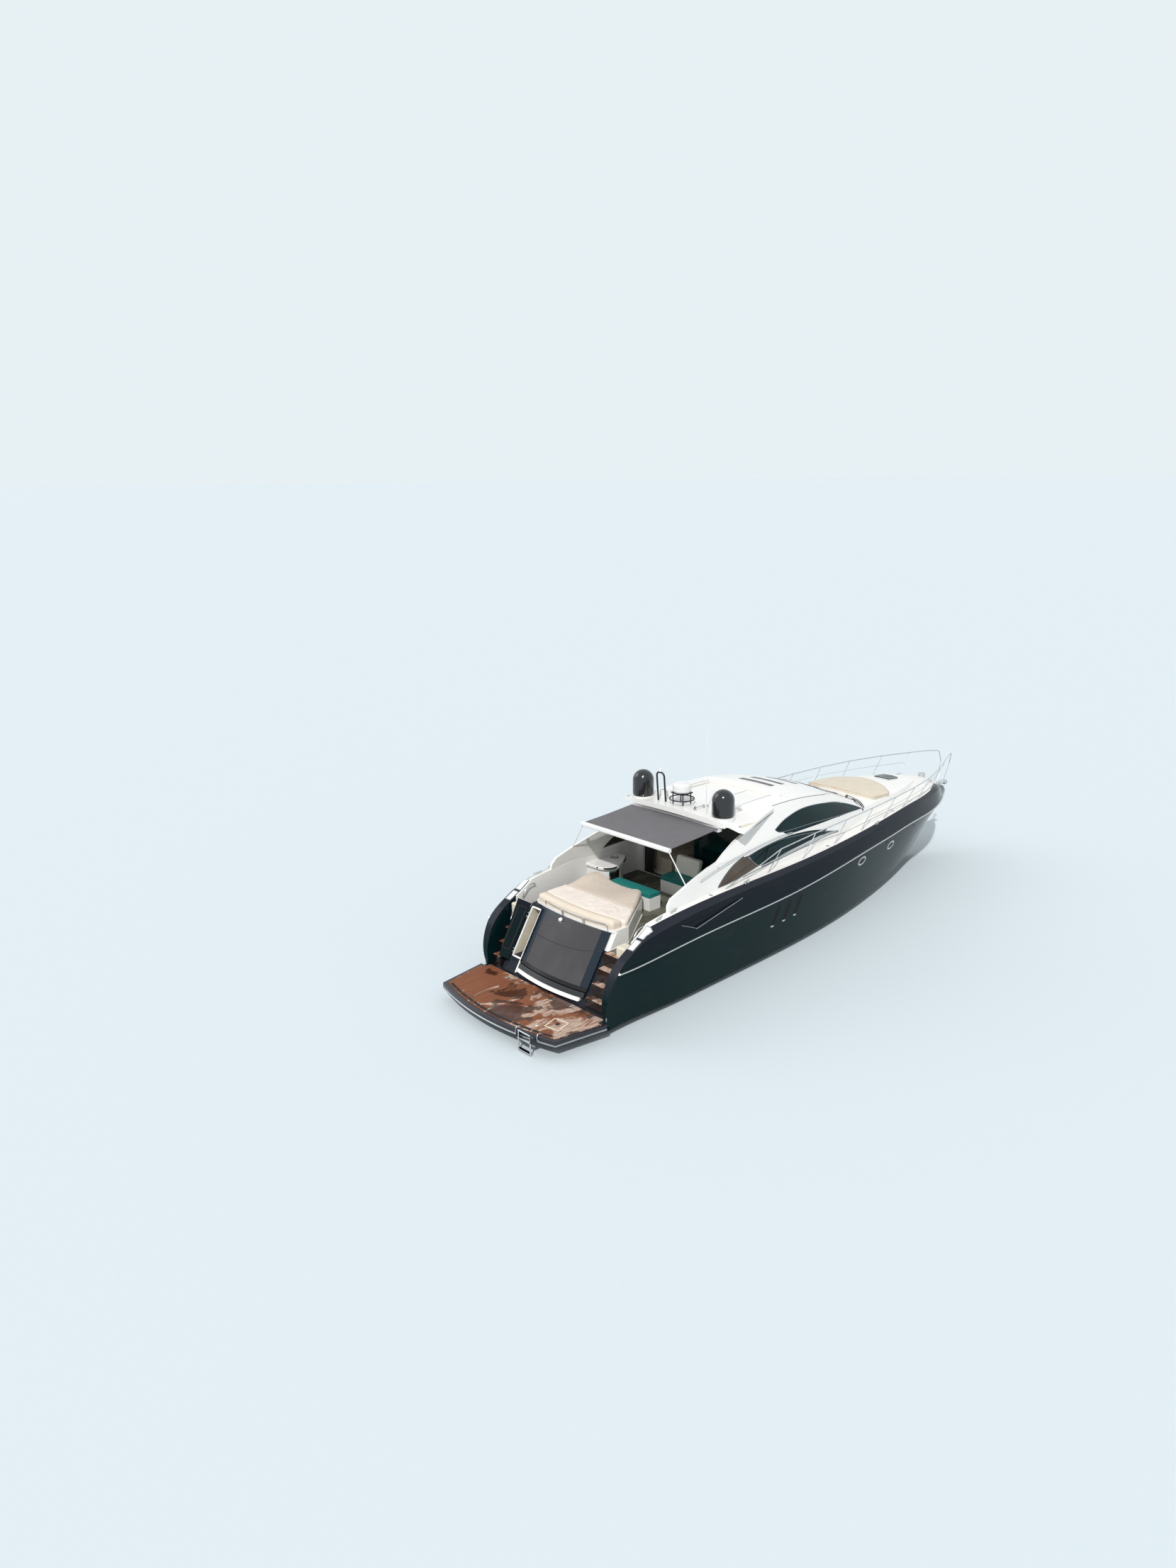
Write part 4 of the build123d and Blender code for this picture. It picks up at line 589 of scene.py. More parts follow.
def fittings():
    """cleats on the gunwales, grab loops at the stern and the mast light"""
    cleats = Form()
    post = [(0.0, -0.01), (0.022, -0.01), (0.014, 0.02), (0.012, 0.055), (0.0, 0.055)]
    loop = [(-7.36, 1.985, 1.98), (-7.34, 1.95, 2.10), (-7.20, 1.95, 2.24), (-7.02, 1.95, 2.27),
            (-6.94, 1.985, 2.20)]
    for side in SIDES:
        for x, y in ((-6.72, 2.14), (-6.22, 2.14), (-3.63, 2.215), (2.63, 1.93), (7.9, 0.60)):
            spots, _ = cast(shell, on_side([(x - 0.05, y, 2.6), (x + 0.05, y, 2.6)], side), DOWN, 1.2)
            for spot in spots:
                cleats.turn(post, spot)
            middle, away = (spots[0] + spots[1]) / 2 + UP * 0.055, Vector((0.13, -side * 0.02, 0.015))
            cleats.tube(smooth([middle + away * k for k in (-1, -0.5, 0.5, 1)], 5), 0.013)
        cleats.tube(smooth(on_side(loop, side)), 0.014)
    cleats.make("cleats_and_loops", "stainless")
    lamp = Form().turn([(0.0, 0), (0.03, 0), (0.034, 0.05), (0.02, 0.09), (0.0, 0.10)], (-3.82, 0.56, 4.88))
    lamp.make("mast_light", "light")


def mid_rail():
    """the guard rail's second line, forward"""
    wire = Form()
    points = [(2.06, 1.94, 2.86), (3.41, 1.83, 2.88), (4.70, 1.68, 2.89), (5.98, 1.44, 2.88),
              (7.30, 1.04, 2.88), (8.30, 0.66, 2.87)]
    for side in SIDES:
        wire.tube(smooth(on_side(points, side), 6), 0.007, sides=8)
    wire.make("mid_rails", "stainless")


# Swim platform
def aft_edge(y, half=2.05):
    """the platform's bowed end"""
    return -10.20 + 0.32 * (y / half) ** 2


def platform_edge(inset):
    """outline of the platform from starboard forward round aft to port, drawn in by an inset"""
    half = 2.05 - inset
    middle = [(aft_edge(y, half) + inset, y) for y in spread(-half, half, 20)]
    return [(-8.53, -2.27 + inset), *middle, (-8.53, 2.27 - inset)]


def platform_details():
    strip, pads, border, hatch, pull, loops, grips = (Form() for _ in range(7))
    teak_top = 0.45
    for z in (0.325, 0.345):
        strip.tube([(x - 0.002, y, z) for x, y in platform_edge(0.0)], 0.009, sides=8)
    strip.make("platform_strip", "strip")
    cuts = spread(-1.86, 1.86, 13)
    for y0, y1 in zip(cuts, cuts[1:]):
        ends = ((y0 + 0.02, 0.14), (y0 + 0.02, 0.215), (y1 - 0.02, 0.215), (y1 - 0.02, 0.14))
        pads.plate([(aft_edge(y) + inset, y, teak_top - 0.001) for y, inset in ends], UP, 0.012)
    pads.make("platform_pads", "rubber", bevel=0.005)
    inner = platform_edge(0.255)
    inner[0], inner[-1] = (-8.45, inner[1][1]), (-8.45, inner[-2][1])
    border.sweep([(x, y, teak_top) for x, y in inner], bead(0.06, 0.004, 0.002), UP)
    border.make("platform_border", "teak")
    corners = [(-9.56, -1.34, 0.451), (-9.50, -1.72, 0.451), (-9.10, -1.62, 0.451), (-9.16, -1.24, 0.451)]
    hatch.sweep(straight(corners, 0.1, True), bead(0.032, 0.006, 0.002), UP, closed=True)
    hatch.turn([(0.0, 0), (0.035, 0), (0.03, 0.012), (0.0, 0.014)], (-9.69, -1.22, 0.452))
    hatch.make("platform_hatch_frame", "cream")
    pull.box((-9.36, -1.53, 0.451), (-9.26, -1.45, 0.457))
    pull.make("platform_hatch_pull", "rubber", bevel=0.002)
    arch = ((-0.07, 0.45), (-0.06, 0.51), (0.06, 0.51), (0.07, 0.45))
    for x, middle in ((-8.62, 1.0), (-8.60, -1.18)):
        loops.tube(smooth([(x, middle + y, z) for y, z in arch], 6), 0.012)
    loops.make("platform_loops", "stainless")
    hook = ((0.10, 0.44), (0.09, 0.51), (0.0, 0.535), (-0.05, 0.50), (-0.05, 0.40), (-0.01, 0.375),
            (0.02, 0.375))
    for y in (-1.64, -1.06):
        grips.tube(smooth([(aft_edge(y) + x, y, z) for x, z in hook], 6), 0.012)
    grips.make("ladder_grips", "stainless")


# Transom and crew hatch
LEAN = 0.6265  # how far the transom runs forward for each metre of height


def slope_x(z):
    """the transom slope at a height"""
    return -8.28 + (z - 0.42) * LEAN


def transom_details():
    """the panel's seams and lamp, and the band and sill under it"""
    seams = (
        ((-7.9, 1.17, 1.40), (-7.9, 0.4, 1.425), (-7.9, -0.4, 1.46), (-7.9, -1.17, 1.58)),
        ((-7.6, 0.975, 1.97), (-7.8, 0.975, 1.5), (-8.2, 0.975, 0.76)),
        ((-7.6, -0.975, 1.97), (-7.8, -0.975, 1.5), (-8.2, -0.975, 0.76)),
    )
    crease = (((-7.7, 1.0, 1.66), (-7.7, 0.2, 1.78), (-7.7, -0.5, 1.84), (-7.7, -0.96, 1.90)),)
    for name, look, lines, wide, high in (
        ("transom_seams", "rubber", seams, 0.014, 0.0015),
        ("transom_crease", "charcoal_gelcoat", crease, 0.03, 0.003),
    ):
        form = Form()
        for line in lines:
            form.trim(transom, smooth(line), AHEAD, wide, high, sink=0.003)
        form.make(name, look, "garage_lid")
    rim = ellipse((-7.6, 0.32, 1.895), (0, 0.115, 0), (0, 0, 0.062), 32)
    Form().patch(rim, transom, AHEAD, 0.004).make("lamp_recess", "black_gloss", "garage_lid")
    spots, ups = cast(transom, [(-7.6, 0.32, 1.905)], AHEAD)
    radius = 0.052
    ball = [(radius * sin(a), 0.03 - radius * cos(a)) for a in spread(0, pi, 12)]
    Form().turn(ball, spots[0], ups[0], 24).make("transom_lamp", "light", "garage_lid")

    def below(y, z, out):
        """under the panel, bowed aft as it is"""
        return Vector((slope_x(z) - 0.07 - out - 0.13 * (1 - (y / 1.19) ** 2), y, z))

    across = spread(1.17, -1.17, 24)
    section = ((0.60, 0), (0.705, 0), (0.705, -0.16), (0.60, -0.16))
    band = Form().skin([[below(y, z, out) for z, out in section] for y in across])
    band.make("transom_band", "black_gloss")
    section = ((0.50, -0.02), (0.585, -0.025), (0.585, -0.15), (0.50, -0.15))
    sill = Form().skin([[below(y, z, out) for z, out in section] for y in across if y > -1.12])
    section = ((-0.005, 0), (-0.10, 0), (-0.10, 0.05), (-0.005, 0.05))
    post = [[below(1.175, z, out) + Vector((0, y, 0)) for out, y in section] for z in (0.475, 0.62, 0.78, 0.94)]
    sill.skin(post)
    sill.make("transom_sill", "white_gelcoat", bevel=0.008)


def hatch_details():
    """a white rim and lining round the opening, and the leaf's handle, catch and seal"""
    y0, y1, z0, z1 = 1.25, 1.56, 0.76, 1.84
    outward = Vector((-1, 0, LEAN)).normalized()
    corners = [(slope_x(z), y, z) for y, z in ((y0, z0), (y1, z0), (y1, z1), (y0, z1))]
    section = [(-0.035, -0.02), (-0.035, 0.006), (0.0, 0.009), (0.012, 0.006), (0.012, -0.02)]
    Form().sweep(straight(corners, 0.1, True), section, outward, True).make("hatch_rim", "white_gelcoat")
    lining = Form()
    deep = 0.55
    for ya, yb, za, zb in (
        (y1 - 0.006, y1 - 0.001, z0, z1), (y0 + 0.001, y0 + 0.006, z0, z1), (y0, y1, z1 - 0.006, z1 - 0.001),
    ):
        ends = ((za, 0), (za, deep), (zb, deep), (zb, 0))
        lining.plate([(slope_x(z) + inward + 0.01, ya, z) for z, inward in ends], (0, 1, 0), yb - ya)
    lining.make("hatch_lining", "cream")
    joint = next(j for j in frame["record"]["behaviour"]["joints"] if j["name"] == "crew_hatch_swing")
    pivot = Vector(joint["pos_m"])
    swing = Matrix.Rotation(-radians(115), 4, Vector(joint["axis"]))

    def on_leaf(y, z, out):
        """a place over the shut leaf, swung to where the leaf stands at rest"""
        shut = Vector((slope_x(z), y, z)) + outward * (0.05 + out)
        return swing @ (shut - pivot) + pivot

    away = on_leaf(y0, z0, 1) - on_leaf(y0, z0, 0)
    handle = ((1.29, 1.42, 0), (1.27, 1.44, 0.05), (1.27, 1.58, 0.06), (1.29, 1.60, 0))
    grip = Form().tube(smooth([on_leaf(*place) for place in handle], 6), 0.011)
    grip.turn([(0, 0), (0.022, 0), (0.018, 0.02), (0, 0.024)], on_leaf(1.33, 1.30, 0), away)
    grip.make("leaf_grip", "stainless", "crew_hatch")
    border = [on_leaf(y, z, -0.052) for y, z in ((1.30, 0.83), (1.51, 0.83), (1.51, 1.77), (1.30, 1.77))]
    seal = Form().sweep(straight(border, 0.1, True), bead(0.03, 0.006, 0.002), -away, True)
    seal.make("leaf_seal", "rubber", "crew_hatch")


def stern_details():
    """step treads, quarter boxes and the cockpit's sole"""
    treads, boxes, sole = Form(), Form(), Form()
    steps = ((-8.325, -8.135, 0.71), (-8.125, -7.935, 1.0), (-7.925, -7.735, 1.315), (-7.725, -7.56, 1.631))
    for low, high in ((-2.03, -1.37), (1.765, 2.03)):
        for x0, x1, z in steps:
            treads.box((x0, low, z), (x1, high, z + 0.012))
    treads.make("step_treads", "teak", bevel=0.004)
    boxes.box((-7.72, -2.012, 1.645), (-7.42, -1.74, 1.93))
    boxes.box((-7.72, 1.76, 1.645), (-7.42, 2.012, 1.93))
    boxes.make("quarter_boxes", "cream", bevel=0.03)
    z, thick = 1.6306, 0.004
    outline = [(-7.545, -2.01), (-7.545, -1.36), (-6.92, -1.36), (-5.42, -0.37), (-5.30, -0.2), (-5.30, 1.30),
               (-5.10, 1.62), (-5.10, 2.01), (-3.145, 2.01), (-3.145, -2.01)]
    sole.plate([(x, y, z) for x, y in outline], UP, thick)
    sole.box((-7.545, 1.66, z), (-5.13, 2.01, z + thick))
    sole.make("cockpit_sole", "sole")


# Cushions
def rounded(outline, radius, step):
    """points along a closed outline in plan with its corners rounded"""
    points = [Vector(p) for p in outline]
    line = []
    for i, corner in enumerate(points):
        before, after = points[i - 1] - corner, points[(i + 1) % len(points)] - corner
        reach = min(radius, before.length / 2.2, after.length / 2.2)
        start, end = corner + before.normalized() * reach, corner + after.normalized() * reach
        for t in spread(0, 1, 5):
            line.append(start * (1 - t) ** 2 + corner * 2 * t * (1 - t) + end * t ** 2)
    return straight(line, step, True)


def clamped(value):
    return max(0.0, min(1.0, value))


def gap_to(point, a, b):
    """distance from a straight run"""
    run = b - a
    return (point - a - run * clamped((point - a).dot(run) / max(run.length_squared, 1e-12))).length


def edge_distance(point, outline):
    return min(gap_to(point, outline[i - 1], outline[i]) for i in range(len(outline)))


def inside(point, outline):
    odd = False
    for i in range(len(outline)):
        a, b = outline[i - 1], outline[i]
        if (a.y > point.y) != (b.y > point.y):
            odd ^= point.x < a.x + (b.x - a.x) * (point.y - a.y) / (b.y - a.y)
    return odd


def settled(point, lift, place):
    """carries a point of a pad from its own plan into the boat"""
    if lift:
        point = point + UP * lift(point)
    return place(point) if place else point


def cushion(name, outline, low, high, look, node, step, corner, edge, groove, wrinkle, body="yacht", crown=0.0,
            seams=(), pull=0.0, place=None, lift=None, fill=0.9):
    """a stuffed pad on a plan outline, from low to high; node is the plain solid that it stands for"""
    (groove_deep, groove_wide), (wrinkle_high, wrinkle_fine) = groove, wrinkle
    corners = [Vector(p) for p in outline]
    rim = rounded(outline, corner, step)
    count, middle, deep = len(rim), sum(rim, Vector((0, 0))) / len(rim), high - low

    def drawn_in(point, share):
        """the walls between corners pull in a little"""
        near = min((point - p).length for p in corners)
        return point.lerp(middle, share * pull * min(1.0, near / 0.3) / max((point - middle).length, 0.1))

    def top(point):
        gap = edge_distance(point, rim)
        arc = 1 - max(0.0, 1 - gap / edge) ** 2
        z = high - crown * exp(-gap / 0.25) - min(edge, deep * 0.5) * (1 - sqrt(arc))
        for a, b in seams:
            z -= groove_deep * exp(-((gap_to(point, Vector(a), Vector(b)) / groove_wide) ** 2))
        where = Vector((point.x * wrinkle_fine, point.y * wrinkle_fine * 2.2, 0.7))
        bend = Vector((noise.noise(where * 0.6), noise.noise(where * 0.6 + Vector((9, 0, 0))), 0)) * 1.6
        z += wrinkle_high * (1 - abs(noise.noise(where + bend)) * 4) * min(1.0, gap / 0.08)
        return Vector((*point, z))

    walls = ((0.9, 0.0), (0.25, 0.12), (1.0, 0.35), (0.8, 0.5))
    rings = [[Vector((*drawn_in(p, share), low + deep * up)) for p in rim] for share, up in walls]
    rings.append([top(p) for p in rim])
    # the cover's points: the rim, rows close to it and an even field between them
    spots, ties = list(rim), [(i, (i + 1) % count) for i in range(count)]
    for share in (0.12, 0.3, 0.55, 0.85):
        for i, p in enumerate(rim):
            along = (rim[(i + 1) % count] - rim[i - 1]).normalized()
            inward = Vector((-along.y, along.x))
            q = p + inward * copysign(edge * share, (middle - p).dot(inward))
            if edge_distance(q, rim) > edge * share * 0.9:
                spots.append(q)
    xs, ys = [p.x for p in rim], [p.y for p in rim]
    for i in range(1, round((max(xs) - min(xs)) / step)):
        for j in range(1, round((max(ys) - min(ys)) / step)):
            q = Vector((min(xs) + (i + 0.5 * (j % 2)) * step, min(ys) + j * step))
            if inside(q, rim) and edge_distance(q, rim) > edge * 1.05:
                spots.append(q)
    plan, _, triangles, *_ = delaunay_2d_cdt(spots, ties, [], 1, 1e-6)
    form = Form().skin([[settled(p, lift, place) for p in points] for points in rings], top=False)
    form.add([settled(top(p), lift, place) for p in plan], triangles)
    obj = form.make(name, look, body, angle=70)
    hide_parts(node)


def piping(name, outline, z, look, corner, inset, place=None, lift=None):
    """the sewn cord round a cushion's edge"""
    rim = rounded(outline, corner, 0.06)
    middle = sum(rim, Vector((0, 0))) / len(rim)
    path = [Vector((*p.lerp(middle, inset / (p - middle).length), z)) for p in rim]
    Form().tube([settled(p, lift, place) for p in path], 0.006, closed=True, sides=8).make(name, look)


def sunpads():
    lid = {"node": "cockpit_sunpad", "body": "garage_lid"}
    low, split, port = 2.0503, -6.33, 1.475

    def lid_aft(y, forward):
        return -7.3288 - 0.13 * (1 - ((y - 0.08) / 1.42) ** 2) + forward, y

    def ridge(p):
        """the forward pad rises to a head rest at each side, higher to port"""
        rise = clamped((p.x - split) / 0.78)
        rise = rise * rise * (3 - 2 * rise)
        left, right = exp(-(((p.y - 1.25) / 0.36) ** 2)), exp(-(((p.y + 0.35) / 0.32) ** 2))
        return (0.145 * left + 0.085 * right) * rise * clamped((p.z - 2.06) / 0.1)

    rear = [lid_aft(y, 0.33) for y in spread(port, -1.315, 16)]
    rear += [(-6.90, -1.315), (split - 0.01, -0.94), (split - 0.01, port)]
    fore = [(split + 0.01, port), (split + 0.01, -0.93), (-5.42, -0.335), (-5.345, -0.14), (-5.345, port)]
    roll = [lid_aft(y, 0.012) for y in spread(1.41, -1.25, 16)]
    roll += [lid_aft(y, 0.30) for y in spread(-1.25, 1.41, 16)]
    cushion("sunpad_aft", rear, low, 2.205, "linen_pale", step=0.032, corner=0.05, edge=0.05,
            groove=(0.010, 0.02), wrinkle=(0.013, 2.2), fill=0.8,
            seams=[((-7.05, y), (split, y)) for y in (0.54, -0.38)], **lid)
    cushion("sunpad_forward", fore, low, 2.195, "linen", step=0.032, corner=0.06, edge=0.07, groove=(0.012, 0.02),
            wrinkle=(0.004, 2.4), seams=[((split, 0.42), (-5.36, 0.42))], lift=ridge, **lid)
    cushion("sunpad_bolster", roll, low, 2.262, "bolster", step=0.04, corner=0.05, edge=0.14,
            groove=(0.008, 0.012), wrinkle=(0.002, 4.0), fill=1.0,
            seams=[((-7.6, y), (-6.9, y)) for y in (0.54, -0.38)], **lid)


def settee():
    low, high = 1.9703, 2.0703
    for name, x0, y0, x1, y1 in (
        ("seat_inner", -3.91, -1.99, -3.21, -0.60), ("seat_end", -3.91, -0.59, -3.21, 0.45),
        ("seat_side", -5.09, -1.99, -4.53, -0.94), ("seat_corner", -4.52, -1.99, -3.92, -0.94),
        ("seat_bench", -5.145, -0.345, -4.74, 1.145),
    ):
        outline = [(x0, y0), (x1, y0), (x1, y1), (x0, y1)]
        cushion(name, outline, low, high + 0.012, "teal_vinyl", "settee_cushions", 0.035, 0.04, 0.035, (0, 1),
                (0.0015, 5.0), crown=0.014, pull=0.012)
        piping(f"{name}_piping", outline, high - 0.012, "teal_dark", 0.04, 0.004)
    lean = 0.11 / 0.48
    for name, start, end, face, axis in (
        ("back_end", -0.44, 0.38, -3.33, "x"), ("back_side_fore", -4.26, -3.53, -1.84, "y"),
        ("back_side_aft", -5.01, -4.27, -1.84, "y"),
    ):
        def place(p, face=face, axis=axis):
            """p.x runs along the cushion, p.y up it, and p.z out of its face"""
            if axis == "x":
                return Vector((face + lean * p.y - p.z, p.x, high + p.y))
            return Vector((p.x, face - lean * p.y + p.z, high + p.y))

        outline = [(start, 0.0), (end, 0.0), (end, 0.47), (start, 0.47)]
        middle = (start + end) / 2
        seams = [((start + 0.06, 0.29), (end - 0.06, 0.29)), ((middle, 0.03), (middle, 0.29))]
        cushion(name, outline, 0.0, 0.135, "cream_vinyl", "settee_backs", 0.03, 0.07, 0.05, (0.010, 0.014),
                (0.001, 5.0), crown=0.012, seams=seams, pull=0.01, place=place)
        piping(f"{name}_piping", outline, 0.085, "cream_dark", 0.07, 0.004, place=place)


def foredeck_pad():
    def lift(p):
        """the cabin's top below a point"""
        return cast(cabin, [(p.x, p.y, 3.2)], DOWN, 1.0)[0][0].z

    outline = [(3.30, -0.55), (3.57, -1.18), (4.48, -1.18), (4.80, -0.75), (5.0, -0.28), (5.02, 0.0)]
    outline += [(x, -y) for x, y in reversed(outline[:-1])]
    seams = [((3.30, 0.0), (5.0, 0.0)), ((3.56, 0.62), (4.88, 0.62)), ((3.56, -0.62), (4.88, -0.62))]
    cushion("foredeck_pad", outline, 0.002, 0.102, "pad_vinyl", "foredeck_sunpad", 0.045, 0.10, 0.035,
            (0.007, 0.012), (0.0015, 2.0), crown=0.012, seams=seams, lift=lift)
    piping("foredeck_pad_piping", outline, 0.078, "cream_dark", 0.10, 0.003, lift=lift)


def awning():
    """one stretched cloth from the roof's housing to the bar, sagging a little, with a fore-aft seam"""
    columns, rows, half = 60, 64, 1.49

    def on_cloth(u, y, sag):
        return -5.655 + 1.755 * u, y, 3.704 + 0.11 * u - 0.028 * sin(pi * u) * sag

    verts, faces = [], []
    for u in spread(0, 1, columns):
        for v in spread(0, 1, rows):
            x, y, z = on_cloth(u, half * (2 * v - 1), 0.35 + 0.65 * sin(pi * v))
            ripple = 0.0022 * noise.noise(Vector((x * 1.5, y * 6, 0))) * sin(pi * u)
            verts.append((x, y, z + ripple + 0.0035 * exp(-(((y + 0.56) / 0.012) ** 2))))
    for i in range(columns):
        for j in range(rows):
            a = i * (rows + 1) + j
            faces.append((a, a + rows + 1, a + rows + 2, a + 1))
    obj = Form().add(verts, faces).make("awning_cloth", "awning_cloth")
    thick = obj.modifiers.new("thick", "SOLIDIFY")
    thick.thickness, thick.offset = 0.0016, 0
    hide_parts("awning_fabric")
    hems = Form()
    for y in (-1.487, 1.487):
        hems.sweep([on_cloth(u, y, 0.35) for u in spread(0, 1, 24)], flat(0.012, 0.003), UP)
    hems.make("awning_hems", "awning_cloth")


# Cabin: frames of the glass, rails and roof
def outlines(name, facing, least):
    """closed edge loops of a node's faces that look a given way"""
    mesh = nodes[name].data
    places, edges = {}, {}
    for polygon in mesh.polygons:
        if polygon.normal.dot(facing) < least or polygon.area < 1e-9:
            continue
        keys = []
        for i in polygon.vertices:
            co = mesh.vertices[i].co
            keys.append(tuple(round(c * 5000) for c in co))
            places[keys[-1]] = co.copy()
        for a, b in zip(keys, keys[1:] + keys[:1]):
            if a != b:
                edges[(a, b)] = True
    follow = {a: b for a, b in edges if (b, a) not in edges}
    loops = []
    while follow:
        key, loop = next(iter(follow)), []
        while key in follow:
            loop.append(places[key])
            key = follow.pop(key)
        if len(loop) > 8 or sum((p - q).length for p, q in zip(loop, loop[1:])) > 0.5:
            loops.append(loop)
    return loops


def frame_round(node, facing, wide, high, tree, least):
    """a trim strip round a node's outlines, their shortest steps left out"""
    form, facing = Form(), Vector(facing).normalized()
    for loop in outlines(node, facing, least):
        path = [loop[0]]
        for p in loop[1:]:
            if (p - path[-1]).length > 0.025:
                path.append(p)
        _, ups = cast(tree, path, -facing, 0.15)
        form.sweep(path, bead(wide, high, 0.004), ups, closed=True)
    return form


def glass_frames():
    """glass carried out to its drawn outlines, with frames, bars, a silver strip and a dark line under it"""
    upper = (
        [(-2.0, 3.42), (-1.48, 3.58), (-0.65, 3.67), (0.37, 3.58), (1.49, 3.34), (2.25, 3.09), (2.62, 2.93)],
        [(2.62, 2.93), (1.01, 3.10), (-0.23, 3.22), (-1.10, 3.27), (-1.80, 3.32), (-2.0, 3.42)],
    )
    lower = (
        [(-3.24, 3.05), (-2.77, 3.12), (-2.0, 3.15), (-1.21, 3.09), (-0.5, 3.0), (0.19, 2.88), (0.80, 2.745)],
        [(0.80, 2.745), (-0.05, 2.82), (-1.58, 2.775), (-2.82, 2.705), (-3.24, 3.05)],
    )
    quarter = (
        [(-4.54, 2.575), (-4.30, 2.74), (-4.01, 2.90), (-3.68, 3.01), (-3.32, 3.07)],
        [(-3.32, 3.07), (-3.16, 2.93), (-2.87, 2.70)],
        [(-2.87, 2.70), (-3.57, 2.625), (-4.11, 2.58), (-4.54, 2.575)],
    )
    strip = [(-2.78, 2.675), (-1.53, 2.735), (0.17, 2.785), (0.95, 2.72)]
    shadow = [(-3.55, 2.585), (-2.78, 2.64), (-1.53, 2.69), (0.17, 2.735), (0.98, 2.685)]
    bar_ends = (((1.15, 3.05), (1.46, 3.30)), ((-1.30, 2.79), (-0.95, 3.03)), ((-2.62, 2.73), (-2.3, 3.10)))
    glass, brown, trims, browns, silver, dark, bars = (Form() for _ in range(7))
    for side in SIDES:
        aim = (0, -side, 0)

        def beside(points):
            return [(x, side * 2.0, z) for x, z in points]

        for runs, panes, frames in ((upper, glass, trims), (lower, glass, trims), (quarter, brown, browns)):
            outline = [p for run in runs for p in smooth(beside(run), 6)[:-1]]
            panes.patch(outline, cabin_glass, aim, 0.003, levels=8)
            frames.trim(cabin_glass, outline, aim, 0.016, 0.007, closed=True)
        silver.trim(cabin_glass, smooth(beside(strip), 6), aim, 0.032, 0.016)
        dark.trim(cabin_glass, smooth(beside(shadow), 6), aim, 0.022, 0.003)
        for ends in bar_ends:
            bars.trim(cabin_glass, straight(beside(ends), 0.06), aim, 0.018, 0.005)
    for form, name, look in (
        (glass, "side_glass", "dark_glass"), (brown, "quarter_panes", "smoked_glass"),
        (trims, "window_frames", "frame_grey"), (browns, "quarter_glass_frames", "frame_brown"),
        (silver, "window_strips", "strip"), (dark, "window_shadow_lines", "frame_brown"),
        (bars, "window_bars", "rubber"),
    ):
        form.make(name, look)


def cabin_rails():
    """hand rails on the wings, standing on feet"""
    rails, feet = Form(), Form()
    points = [(-5.15, 2.0, 2.87), (-5.09, 2.0, 2.95), (-4.46, 1.98, 3.06), (-3.88, 1.95, 3.14),
              (-3.23, 1.93, 3.18), (-2.62, 1.9, 3.22), (-1.97, 1.88, 3.24), (-1.42, 1.86, 3.22),
              (-1.36, 1.86, 3.17)]
    stand = 0.055
    for side in SIDES:
        spots, ups = cast(cabin_glass, on_side(points, side), (0, -side, 0))
        path = [p + up * stand for p, up in zip(spots, ups)]
        rails.tube(smooth([spots[0], *path[1:-1], spots[-1]], 10), 0.011)
        for p, up in list(zip(spots, ups))[2:-2:2]:
            rails.tube([p - up * 0.01, p + up * stand], 0.008, sides=8)
            feet.turn([(0, 0), (0.022, 0), (0.02, 0.006), (0, 0.008)], p, up, 16)
    rails.make("wing_rails", "stainless")
    feet.make("wing_rail_feet", "stainless")


def over_roof(points):
    """places in plan, at a height from which they are dropped onto the roof"""
    return [Vector((x, y, 4.2)) for x, y in points]


